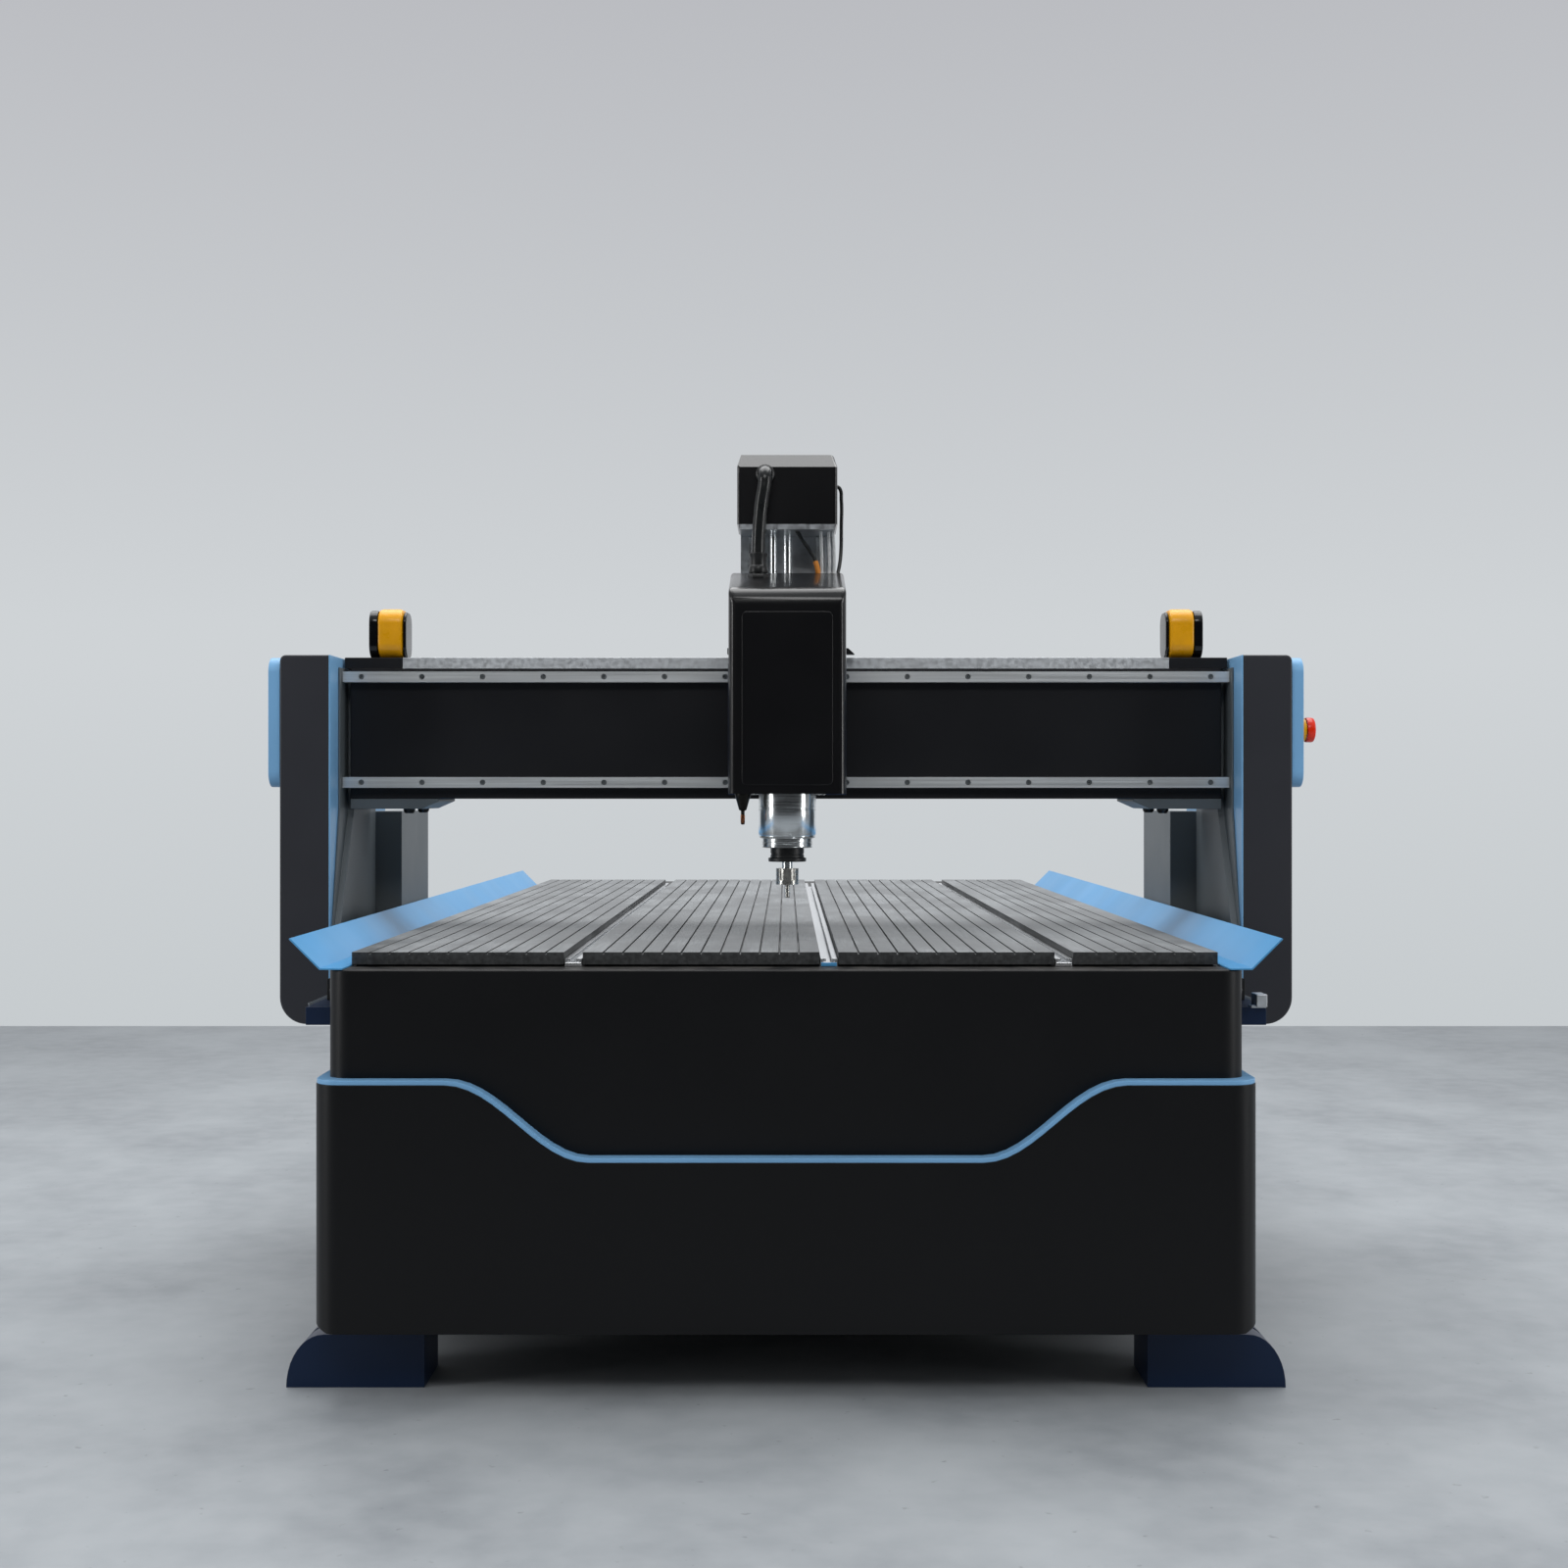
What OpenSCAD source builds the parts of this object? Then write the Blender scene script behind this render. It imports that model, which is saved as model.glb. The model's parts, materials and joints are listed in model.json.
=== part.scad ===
// Flat-bed CNC router with a travelling gantry and a 1300 x 2500 mm working area.
// X runs across the bed, Y runs from the operator's end to the back, and Z is up.
// The origin is on the floor under the middle of the bed.

/* [Bed] */
// Length of the bed from the front cover to the rear cover
bed_len = 3430; // [3400:10:3500]
// Half width of the lower covers
lower_half = 767; // [764:1:772]
// Half width of the upper cover
upper_half = 750; // [746:1:752]
// Height of the deck that carries the table
deck_z = 700; // [696:1:700]
// Height of the lower covers' bottom edge above the floor
skirt_z = 114; // [100:1:130]
// Height of the blue trim line at the sides
trim_high_z = 516; // [480:1:540]
// Height of the blue trim line in the middle
trim_low_z = 391; // [340:1:420]
// Half width of the middle part of the trim line
trim_low_half = 319; // [250:1:350]
// Half width at which the trim line reaches its full height
trim_high_half = 552; // [500:1:600]
// Height of the feet
foot_h = 88; // [70:1:100]

/* [Table] */
// Length of the table
table_len = 2891; // [2600:1:2900]
// Thickness of the table boards
board_t = 21; // [15:1:21]
// Distance between the grooves in the boards
groove_pitch = 32.5; // [25:0.5:50]
// Width of a groove
groove_w = 3; // [2:0.5:6]
// Depth of a groove
groove_d = 4; // [2:0.5:6]
// Width of a T-track
track_w = 28; // [26:1:30]
// Height of a T-track
track_h = 13; // [12:1:13]

/* [Gantry] */
// Height of the underside of the beam
beam_z = 977; // [970:1:980]
// Height of the beam
beam_h = 259; // [255:1:259]
// Depth of the beam from front to back
beam_depth = 200; // [180:1:205]
// Half length of the rails on the beam
x_rail_half = 877; // [870:1:880]
// Distance between the rail screws
rail_screw_pitch = 120; // [60:10:150]
// Height of the column covers' bottom edge
column_z = 541; // [500:1:560]
// Outside face of the column covers
column_out = 980; // [960:1:1000]

/* [Head] */
// Position of the head to the right of the middle of the beam
head_x = 2.5; // [-100:0.5:100]
// Width of the head cover
head_w = 216; // [214:1:220]
// Diameter of the spindle
spindle_d = 108; // [95:1:110]
// Lead-screw diameter of the vertical axis
screw_d = 16; // [14:1:18]
// Cutting diameter of the tool
tool_d = 10; // [6:1:12]
// Length of the tool that stands out of the nut
tool_len = 25; // [20:1:26]

/* [Hidden] */
$fn = 64;
sheet = 3;
fit_gap = 0.05;

// Places along the bed
bed_front = -bed_len / 2;
bed_rear = bed_len / 2;
upper_front = bed_front + 30;
table_front = bed_front + 101;
table_rear = table_front + table_len;
frame_front = bed_front + 124;
frame_rear = bed_rear - 15;
cover_return = 115;
// Linear rails and racks start behind the front covers
rail_start = frame_front + 111;
cover_r = 40;

// Frame of the bed
beam_in = 640;
beam_out = 740;
side_beam_z = 440;
cross_z = deck_z - 60;
cross_w = 60;
cross_count = 12;
tie_count = 5;
foot_ys = [bed_front + 168, 0, bed_rear - 168];
foot_len = 134;
foot_in = 601;
foot_out = 831;
foot_top_out = 769;
anchor_x = 795;
anchor_r = 9;

// Control cabinet under the back of the bed
cabinet_z = 200;
cabinet_sheet = 2;
gland_x = -200;
gland_y = 1500;
gland_r = 12;

// Rails, racks and pinions
ledge_out = 804;
ledge_z = deck_z - 100;
ledge_h = 30;
y_rail_x = 772;
rail_w = 23;
rail_h = 22;
run_gap = 0.5;
rack_w = 18;
pinion_pitch_r = 25;
pinion_tip_r = 26;
pinion_root_r = 23;
pinion_teeth = 20;
tooth_gap = 0.3;
y_pinion_x = ledge_out + rack_w + tooth_gap + pinion_tip_r;
y_pinion_y = -600;
pinion_shaft_r = 7;
y_block_ys = [-950, -650];
block_len = 84;
block_w = 48;
block_h = 34;
foot_plate_z = 670;
foot_plate_top = 692;

// Chip guards and table
guard_in = 723;
guard_bend = 760;
guard_rise = 50;
track_xs = [-353.5, 71.5, 462];
board_spans = [[-722, -369], [-338, 56], [87, 446.5], [477.5, 718]];
board_z = deck_z + 3;
slot_w = 10;
chamber_w = 20;
chamber_z = 2.5;
chamber_h = 6;

// Gantry
beam_front = -943;
beam_rear = beam_front + beam_depth;
beam_top = beam_z + beam_h;
beam_half = 866;
leg_in = 866;
leg_out = 882;
panel_out = 885;
column_front = -1053;
column_top = 1256;
column_profile = [[column_front, column_z], [-303, column_z], [-653, column_top],
                  [column_front, column_top]];
rail_front = -965;
x_rail_zs = [1009.5, 1218.5];
x_rail_h = 21;
strip_top = 1258;
x_rack_ys = [-800, -782];
x_pinion_y = x_rack_ys[1] + tooth_gap + pinion_tip_r;
estop_y = -1000;
estop_z = 1112;
pad_out = 1003;

// Head
carriage_ys = [-1003, -983];
carriage_half = 116;
carriage_z = 985;
carriage_top = 1243;
z_plate_half = 91;
motor_plate_z = 1490;
z_box_front = -1120;
z_box_rear = -960;
z_box_z = 1500;
z_box_top = 1636;
z_box_half = 95.5;
z_screw_y = -1018;
z_rail_x = 65;
slide_ys = [-1053, -1033];
slide_half = head_w / 2 - sheet;
spindle_y = -1170;
cover_front = -1280;
cover_rear = -1036;
cover_z = 987;
cover_top = 1408;
rotor_r = 10;

// ---------- shared shapes ----------
module span(x, y, z) {
  translate([x[0], y[0], z[0]]) cube([x[1] - x[0], y[1] - y[0], z[1] - z[0]]);
}

module both_sides() {
  children();
  mirror([1, 0, 0]) children();
}

// Extrude an outline drawn in X and Z along Y
module along_y(y) {
  translate([0, y[1], 0]) rotate([90, 0, 0]) linear_extrude(y[1] - y[0]) children();
}

// Extrude an outline drawn in Y and Z along X
module along_x(x) {
  translate([x[0], 0, 0]) rotate([90, 0, 90]) linear_extrude(x[1] - x[0]) children();
}

// Extrude an outline drawn in X and Y along Z
module along_z(z) {
  translate([0, 0, z[0]]) linear_extrude(z[1] - z[0]) children();
}

module round_rect(x, y, r) {
  translate([x[0] + r, y[0]]) square([x[1] - x[0] - 2 * r, y[1] - y[0]]);
  translate([x[0], y[0] + r]) square([x[1] - x[0], y[1] - y[0] - 2 * r]);
  for (cx = [x[0] + r, x[1] - r], cy = [y[0] + r, y[1] - r])
    translate([cx, cy]) circle(r);
}

// Rectangular tube along Y, open at both ends
module tube_y(x, y, z, wall) {
  difference() {
    span(x, y, z);
    span([x[0] + wall, x[1] - wall], [y[0] - 1, y[1] + 1], [z[0] + wall, z[1] - wall]);
  }
}

module tube_x(x, y, z, wall) {
  difference() {
    span(x, y, z);
    span([x[0] - 1, x[1] + 1], [y[0] + wall, y[1] - wall], [z[0] + wall, z[1] - wall]);
  }
}

module tube_z(x, y, z, wall) {
  difference() {
    span(x, y, z);
    span([x[0] + wall, x[1] - wall], [y[0] + wall, y[1] - wall], [z[0] - 1, z[1] + 1]);
  }
}

module pillar(x, y, z, r) {
  translate([x, y, z[0]]) cylinder(r = r, h = z[1] - z[0]);
}

// Slotted block that runs on a rail; the slot is wider than the rail by run_gap each side
module rail_section(w, h) {
  square([w + 2 * run_gap, h + run_gap]);
}

// Spur gear with straight flanks, axis along Z
module pinion_teeth_outline() {
  step = 360 / pinion_teeth;
  polygon([for (i = [0 : pinion_teeth - 1])
             for (p = [[-0.30, pinion_root_r], [-0.14, pinion_tip_r],
                       [0.14, pinion_tip_r], [0.30, pinion_root_r]])
               [p[1] * cos((i + p[0]) * step), p[1] * sin((i + p[0]) * step)]]);
}

module pinion(x, y, z, shaft_top) {
  translate([x, y, 0]) {
    along_z(z) pinion_teeth_outline();
    pillar(0, 0, [z[1] - 1, shaft_top], pinion_shaft_r);
  }
}

// Straight rack: a bar along the length with teeth on its +Y side
function rack_outline(len, depth) =
  let (pitch = 2 * 180 / pinion_teeth * pinion_pitch_r * PI / 180,
       count = floor(len / pitch),
       root = pinion_tip_r - pinion_root_r)
  concat([[0, 0]],
         [for (i = [0 : count - 1])
            for (p = [[0.10, depth - root], [0.35, depth], [0.60, depth], [0.85, depth - root]])
              [(i + p[0]) * pitch, p[1]]],
         [[len, depth - root], [len, 0]]);

// ---------- bed covers ----------
// Height of the trim line at x
function trim_share(x) =
  min(1, max(0, (abs(x) - trim_low_half) / (trim_high_half - trim_low_half)));
function trim_z(x) =
  trim_low_z + (trim_high_z - trim_low_z) * (1 - cos(180 * trim_share(x))) / 2;
function trim_slope(x) =
  (trim_high_z - trim_low_z) * PI / 2 * sin(180 * trim_share(x))
  / (trim_high_half - trim_low_half);
function trim_thick(x, t) = t * sqrt(1 + pow(trim_slope(x), 2));
curve_steps = 12;
curve_xs = [for (i = [0 : curve_steps])
              trim_low_half + (trim_high_half - trim_low_half) * i / curve_steps];
function trim_xs(half) =
  concat([-half], [for (i = [curve_steps : -1 : 0]) -curve_xs[i]], curve_xs, [half]);

// Outline in X and Z between the trim line raised by low and by high
module trim_band(half, low, high) {
  xs = trim_xs(half);
  last = len(xs) - 1;
  polygon(concat([for (x = xs) [x, trim_z(x) + trim_thick(x, low)]],
                 [for (i = [last : -1 : 0]) [xs[i], trim_z(xs[i]) + trim_thick(xs[i], high)]]));
}

// Plan of a cover with rounded front corners
module cover_plan(half, front, rear, r) {
  translate([-half, front + r]) square([2 * half, rear - front - r]);
  translate([-half + r, front]) square([2 * half - 2 * r, r]);
  for (side = [-1, 1]) translate([side * (half - r), front + r]) circle(r);
}

module cover_ring(half, front, rear, r) {
  difference() {
    cover_plan(half, front, rear, r);
    cover_plan(half - sheet, front + sheet, rear + 1, r - sheet);
  }
}

module front_upper_cover() {
  color("#16161a") {
    intersection() {
      along_z([trim_low_z - 10, deck_z - sheet])
        cover_ring(upper_half, upper_front, upper_front + cover_return - 30, cover_r);
      along_y([bed_front, bed_front + 2 * cover_return]) {
        xs = trim_xs(upper_half);
        polygon(concat([for (x = xs) [x, trim_z(x)]],
                       [[upper_half, deck_z], [-upper_half, deck_z]]));
      }
    }
    along_z([deck_z - sheet, deck_z])
      cover_plan(upper_half, upper_front, upper_front + cover_return - 30, cover_r);
  }
}

module front_lower_cover() {
  chamfer_x = 24;
  chamfer_z = 11;
  rear = bed_front + cover_return;
  color("#141416") {
    intersection() {
      along_z([skirt_z, trim_high_z]) cover_ring(lower_half, bed_front, rear, cover_r + 5);
      along_y([bed_front - 1, rear + 1]) {
        xs = trim_xs(lower_half);
        polygon(concat([[-lower_half, skirt_z + chamfer_z]],
                       [for (x = xs) [x, trim_z(x)]],
                       [[lower_half, skirt_z + chamfer_z], [lower_half - chamfer_x, skirt_z],
                        [chamfer_x - lower_half, skirt_z]]));
      }
    }
    intersection() {
      along_z([trim_low_z - 10, trim_high_z]) difference() {
        cover_plan(lower_half - sheet, bed_front + sheet, rear, cover_r + 2);
        cover_plan(upper_half, upper_front, rear + 1, cover_r);
      }
      along_y([bed_front - 1, rear + 1]) trim_band(lower_half, -sheet, 0);
    }
  }
}

module cover_trim() {
  trim_h = 8;
  inset = 1;
  color("#6793c0") intersection() {
    along_z([trim_low_z - 10, trim_high_z + trim_h]) difference() {
      cover_plan(lower_half - inset, bed_front + inset, bed_rear - sheet, cover_r + 4);
      cover_plan(upper_half, upper_front, bed_rear, cover_r);
    }
    along_y([bed_front - 1, bed_rear + 1]) trim_band(lower_half, 0, trim_h);
  }
}

module side_panels() {
  front = bed_front + cover_return;
  color("#141416") both_sides() {
    along_y([front, bed_rear - sheet])
      polygon([[lower_half - sheet, skirt_z + 11], [lower_half, skirt_z + 11],
               [lower_half, trim_high_z], [upper_half, trim_high_z],
               [upper_half, trim_high_z - sheet], [lower_half - sheet, trim_high_z - sheet]]);
    span([upper_half - sheet, upper_half], [front, frame_rear], [trim_high_z, ledge_z]);
  }
}

// One folded sheet: the rear wall, and a deck behind the table
module rear_cover() {
  deck_half = 738;
  color("#141416") {
    span([-lower_half, lower_half], [bed_rear - sheet, bed_rear], [skirt_z, trim_high_z]);
    span([-deck_half, deck_half], [bed_rear - sheet, bed_rear], [trim_high_z, deck_z]);
    span([-deck_half, deck_half], [table_rear + 10, bed_rear], [deck_z - sheet, deck_z]);
  }
}

// Supply inlet in the bottom of the control cabinet
module cable_gland() {
  flange_r = 17;
  color("#202124") translate([gland_x, gland_y, cabinet_z]) difference() {
    union() {
      pillar(0, 0, [-2, 14], gland_r);
      translate([0, 0, -12]) cylinder(r = flange_r, h = 12, $fn = 6);
      pillar(0, 0, [-28, -12], gland_r + 1);
      translate([0, 0, cabinet_sheet]) cylinder(r = flange_r, h = 8, $fn = 6);
    }
    pillar(0, 0, [-30, 20], gland_r - 4);
  }
}

module control_cabinet() {
  x = [-300, 300];
  y = [1200, 1600];
  z = [cabinet_z, 460];
  t = cabinet_sheet;
  color("#8f9498") difference() {
    span(x, y, z);
    span([x[0] + t, x[1] - t], [y[0] + t, y[1] - t], [z[0] + t, z[1] - t]);
    pillar(gland_x, gland_y, [z[0] - 1, z[0] + t + 1], gland_r);
  }
}

// ---------- bed frame ----------
module bed_side_beams() {
  color("#2a2d31") both_sides()
    tube_y([beam_in, beam_out], [frame_front, frame_rear], [side_beam_z, cross_z], 8);
}

module bed_cross_members() {
  first = table_front + 20;
  step = (table_rear - 80 - first) / (cross_count - 1);
  tie_step = (foot_ys[2] - foot_ys[0]) / (tie_count - 1);
  color("#2a2d31") {
    for (i = [0 : cross_count - 1]) {
      y = first + i * step;
      tube_x([-beam_out, beam_out], [y, y + cross_w], [cross_z, deck_z], 5);
    }
    for (i = [0 : tie_count - 1]) {
      y = foot_ys[0] + i * tie_step - cross_w / 2;
      tube_x([-beam_in, beam_in], [y, y + cross_w], [460, 520], 5);
    }
  }
}

module bed_legs() {
  color("#1b1e22") both_sides() for (y = foot_ys)
    tube_z([beam_in, beam_out], [y - 50, y + 50], [foot_h, side_beam_z], 6);
}

module bed_feet() {
  steps = 10;
  color("#131f2f") both_sides() for (y = foot_ys) difference() {
    along_y([y - foot_len / 2, y + foot_len / 2])
      polygon(concat([[foot_in, 0], [foot_in, foot_h]],
                     [for (i = [0 : steps])
                        let (a = 90 - 90 * i / steps)
                        [foot_top_out + (foot_out - foot_top_out) * cos(a), foot_h * sin(a)]]));
    pillar(anchor_x, y, [-1, foot_h + 1], anchor_r);
  }
}

// ---------- Y guides ----------
module rail_ledges() {
  color("#0f2c50") both_sides()
    span([beam_out, ledge_out], [frame_front, frame_rear], [ledge_z, ledge_z + ledge_h]);
}

module y_rails() {
  waist = 3;
  top = ledge_z + ledge_h;
  color("#8e9c9c") both_sides() along_y([rail_start, frame_rear - 10])
    polygon([[y_rail_x - rail_w / 2, top], [y_rail_x + rail_w / 2, top],
             [y_rail_x + rail_w / 2, top + 7], [y_rail_x + rail_w / 2 - waist, top + 10],
             [y_rail_x + rail_w / 2 - waist, top + 13], [y_rail_x + rail_w / 2, top + 16],
             [y_rail_x + rail_w / 2, top + rail_h], [y_rail_x - rail_w / 2, top + rail_h],
             [y_rail_x - rail_w / 2, top + 16], [y_rail_x - rail_w / 2 + waist, top + 13],
             [y_rail_x - rail_w / 2 + waist, top + 10], [y_rail_x - rail_w / 2, top + 7]]);
}

module y_racks() {
  rack_pitch = 2 * PI * pinion_pitch_r / pinion_teeth;
  front = frame_front + ceil(91 / rack_pitch) * rack_pitch;
  len = frame_rear - front;
  color("#6d7276") {
    translate([ledge_out, frame_rear, ledge_z + 3]) rotate([0, 0, -90])
      linear_extrude(24) polygon(rack_outline(len, rack_w));
    translate([-ledge_out, front, ledge_z + 3]) rotate([0, 0, 90])
      linear_extrude(24) polygon(rack_outline(len, rack_w));
  }
}

// A buffer clamped over each end of each rail
module y_end_stops() {
  color("#1c1c1e") both_sides() for (y = [rail_start + 4, frame_rear - 50])
    difference() {
      span([y_rail_x - 22, y_rail_x + 22], [y, y + 30], [ledge_z + ledge_h, foot_plate_z - 3]);
      span([y_rail_x - rail_w / 2, y_rail_x + rail_w / 2], [y - 1, y + 31],
           [ledge_z + ledge_h - 1, ledge_z + ledge_h + rail_h]);
    }
}

module chip_guards() {
  t = sheet;
  rise_in = t / sqrt(2);
  bend_in = t * tan(22.5);
  tip = guard_bend + guard_rise;
  color("#6fa6d2") both_sides() along_y([upper_front + 1, table_rear + 4])
    polygon([[guard_in, deck_z], [guard_bend, deck_z], [tip, deck_z + guard_rise],
             [tip - rise_in, deck_z + guard_rise + rise_in],
             [guard_bend - bend_in, deck_z + t], [guard_in, deck_z + t]]);
}

// ---------- table ----------
module table_underlay() {
  color("#3a3b3d") for (s = board_spans)
    span([s[0] + 5, s[1] - 5], [table_front + 15, table_rear - 15], [deck_z, board_z]);
}

module table_boards() {
  color("#8b8e90") for (s = board_spans) {
    count = floor((s[1] - s[0] - groove_pitch / 2) / groove_pitch);
    margin = (s[1] - s[0] - (count - 1) * groove_pitch) / 2;
    along_y([table_front, table_rear]) difference() {
      translate([s[0], board_z]) square([s[1] - s[0], board_t]);
      for (i = [0 : count - 1])
        translate([s[0] + margin + i * groove_pitch - groove_w / 2,
                   board_z + board_t - groove_d])
          square([groove_w, groove_d + 1]);
    }
  }
}

module t_tracks() {
  color("#a9abb2") for (x = track_xs)
    translate([x, 0, deck_z]) along_y([table_front, table_rear]) difference() {
      translate([-track_w / 2, 0]) square([track_w, track_h]);
      translate([-slot_w / 2, chamber_z]) square([slot_w, track_h]);
      translate([-chamber_w / 2, chamber_z]) square([chamber_w, chamber_h]);
    }
}

// ---------- gantry ----------
module gantry_beam() {
  end_t = 12;
  color("#222127") {
    tube_x([-beam_half, beam_half], [beam_front, beam_rear], [beam_z, beam_top], 6);
    both_sides() difference() {
      span([beam_half - end_t, beam_half], [beam_front + 6, beam_rear - 6],
           [beam_z + 6, beam_top - 6]);
      translate([beam_half, (beam_front + beam_rear) / 2, beam_z + beam_h / 2])
        rotate([0, 90, 0]) cylinder(r = 60, h = 3 * end_t, center = true);
    }
  }
}

module seat_plates() {
  inner = 724;
  toe = 690;
  t = 20;
  color("#1a1b1d") both_sides() along_y([beam_front, beam_rear])
    polygon([[inner, beam_z - t], [leg_in, beam_z - t], [leg_in, beam_z], [toe, beam_z],
             [toe, beam_z - 5]]);
}

module leg_plates() {
  knee_z = beam_z - 20;
  knee_y = -906;
  lip_y = -982;
  color("#3e4548") both_sides() {
    along_x([leg_in, leg_out])
      polygon([[column_front, foot_plate_top], [-690, foot_plate_top], [-690, beam_top],
               [knee_y, beam_top], [knee_y, knee_z]]);
    along_x([leg_out - 4, leg_out])
      polygon([[column_front, foot_plate_top], [knee_y, foot_plate_top], [knee_y, beam_top],
               [lip_y, beam_top], [lip_y, knee_z]]);
  }
}

module x_rail_holes(z) {
  count = floor(2 * x_rail_half / rail_screw_pitch) + 1;
  first = -(count - 1) * rail_screw_pitch / 2;
  for (i = [0 : count - 1])
    translate([first + i * rail_screw_pitch, 0, z]) children();
}

module x_rails() {
  groove = 3;
  mid = (rail_front + beam_front) / 2;
  color("#aab3b5") for (z = x_rail_zs) difference() {
    along_x([-x_rail_half, x_rail_half])
      polygon([[beam_front, z - x_rail_h / 2], [beam_front, z + x_rail_h / 2],
               [mid + 3, z + x_rail_h / 2], [mid, z + x_rail_h / 2 - groove],
               [mid - 3, z + x_rail_h / 2], [rail_front, z + x_rail_h / 2],
               [rail_front, z - x_rail_h / 2], [mid - 3, z - x_rail_h / 2],
               [mid, z - x_rail_h / 2 + groove], [mid + 3, z - x_rail_h / 2]]);
    x_rail_holes(z) translate([0, rail_front - 1, 0]) rotate([-90, 0, 0])
      cylinder(r = 5.5, h = 10, $fn = 32);
  }
}

module x_rail_screws() {
  color("#3b3d40") for (z = x_rail_zs) x_rail_holes(z)
    translate([0, rail_front + 3, 0]) rotate([-90, 0, 0]) difference() {
      cylinder(r = 5, h = 6, $fn = 32);
      translate([0, 0, -1]) cylinder(r = 2.5, h = 4, $fn = 6);
    }
}

module x_rack() {
  half = 850;
  color("#6d7276") translate([-half, x_rack_ys[0], beam_top]) linear_extrude(22)
    polygon(rack_outline(2 * half, x_rack_ys[1] - x_rack_ys[0]));
}

module beam_top_strip() {
  color("#94979c") span([-762, 762], [beam_front, beam_front + 30], [beam_top, strip_top]);
}

module sensor_brackets() {
  color("#1d1e20") both_sides()
    span([763, leg_out - 4.5], [beam_front, -850], [beam_top, strip_top]);
}

module sensor_side(inset, r) {
  round_rect([-935 + inset, -855 - inset], [strip_top, strip_top + 99 - inset], r);
}

module sensor_housings() {
  color("#c18d0f") both_sides() along_x([765, 815]) sensor_side(0, 30);
}

module sensor_lenses() {
  color("#15161a") both_sides() {
    along_x([815, 832]) sensor_side(3, 27);
    along_x([758, 765]) sensor_side(6, 24);
  }
}

// Front view of a column cover: upright, with its outer corners rounded
module column_front_outline(inset) {
  low_r = 52 - inset;
  top_r = 12 - inset;
  right = column_out - inset;
  top = column_top - inset;
  bottom = column_z + inset;
  translate([panel_out, bottom]) square([right - low_r - panel_out, top - bottom]);
  translate([panel_out, bottom + low_r]) square([right - panel_out, top - top_r - bottom - low_r]);
  translate([panel_out, bottom + low_r]) square([right - top_r - panel_out, top - bottom - low_r]);
  translate([right - low_r, bottom + low_r]) circle(low_r);
  translate([right - top_r, top - top_r]) circle(top_r);
}

module column_covers() {
  inner_profile = [[column_front + sheet, column_z - 1], [-309, column_z - 1],
                   [-659, column_top + 1], [column_front + sheet, column_top + 1]];
  color("#33373a") both_sides() difference() {
    intersection() {
      along_y([column_front, -303]) column_front_outline(0);
      along_x([panel_out, column_out]) polygon(column_profile);
    }
    intersection() {
      along_y([column_front, -303]) translate([-1, 0]) column_front_outline(sheet);
      along_x([panel_out - 1, column_out]) polygon(inner_profile);
    }
  }
}

module column_inner_panels() {
  color("#5e92c8") both_sides() along_x([leg_out, panel_out]) polygon(column_profile);
}

module side_pads() {
  color("#6e98bf") {
    mirror([1, 0, 0]) along_x([column_out, pad_out])
      round_rect([-1050, -750], [1000, 1252], 30);
    difference() {
      along_x([column_out, pad_out]) round_rect([-1050, -750], [1000, 1252], 30);
      translate([column_out - 1, estop_y, estop_z]) rotate([0, 90, 0]) cylinder(r = 12, h = 30);
    }
  }
}

module motor_covers() {
  inner = 813;
  color("#55585d") both_sides() difference() {
    span([inner, leg_out], [-680, -358], [foot_plate_top, 950]);
    span([inner + sheet, leg_out + 1], [-680 + sheet, -358 - sheet],
         [foot_plate_top - 1, 950 - sheet]);
  }
}

module y_foot_plates() {
  color("#2b2e31") both_sides() difference() {
    span([748, leg_out], [-1020, -550], [foot_plate_z, foot_plate_top]);
    pillar(y_pinion_x, y_pinion_y, [foot_plate_z - 1, foot_plate_top + 1], 12);
  }
}

module y_bearing_blocks() {
  top = ledge_z + ledge_h;
  color("#7b8184") both_sides() for (y = y_block_ys) difference() {
    span([y_rail_x - block_w / 2, y_rail_x + block_w / 2],
         [y - block_len / 2, y + block_len / 2], [foot_plate_z - block_h, foot_plate_z]);
    along_y([y - block_len, y + block_len])
      translate([y_rail_x - rail_w / 2 - run_gap, top]) rail_section(rail_w, rail_h);
  }
}

module y_motors() {
  gear_h = 60;
  half = 31;
  color("#26282b") both_sides() {
    difference() {
      span([y_pinion_x - half, y_pinion_x + half], [y_pinion_y - half, y_pinion_y + half],
           [foot_plate_top, foot_plate_top + gear_h]);
      pillar(y_pinion_x, y_pinion_y, [foot_plate_top - 1, foot_plate_top + 23],
             pinion_shaft_r + fit_gap);
    }
    span([y_pinion_x - half + 1, y_pinion_x + half - 1],
         [y_pinion_y - half + 1, y_pinion_y + half - 1],
         [foot_plate_top + gear_h, foot_plate_top + gear_h + 118]);
  }
}

module y_pinion_right() {
  color("#9aa0a3") pinion(y_pinion_x, y_pinion_y, [ledge_z + 5, ledge_z + 25],
                          foot_plate_top + 20);
}

module y_pinion_left() {
  color("#9aa0a3") pinion(-y_pinion_x, y_pinion_y, [ledge_z + 5, ledge_z + 25],
                          foot_plate_top + 20);
}

module estop_collar() {
  color("#d9a514") translate([0, estop_y, estop_z]) rotate([0, 90, 0]) difference() {
    union() {
      translate([0, 0, pad_out]) cylinder(r = 25, h = 8);
      translate([0, 0, pad_out - 19]) cylinder(r = 12, h = 20);
    }
    translate([0, 0, pad_out - 17]) cylinder(r = 8 + fit_gap, h = 40);
  }
}

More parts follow.
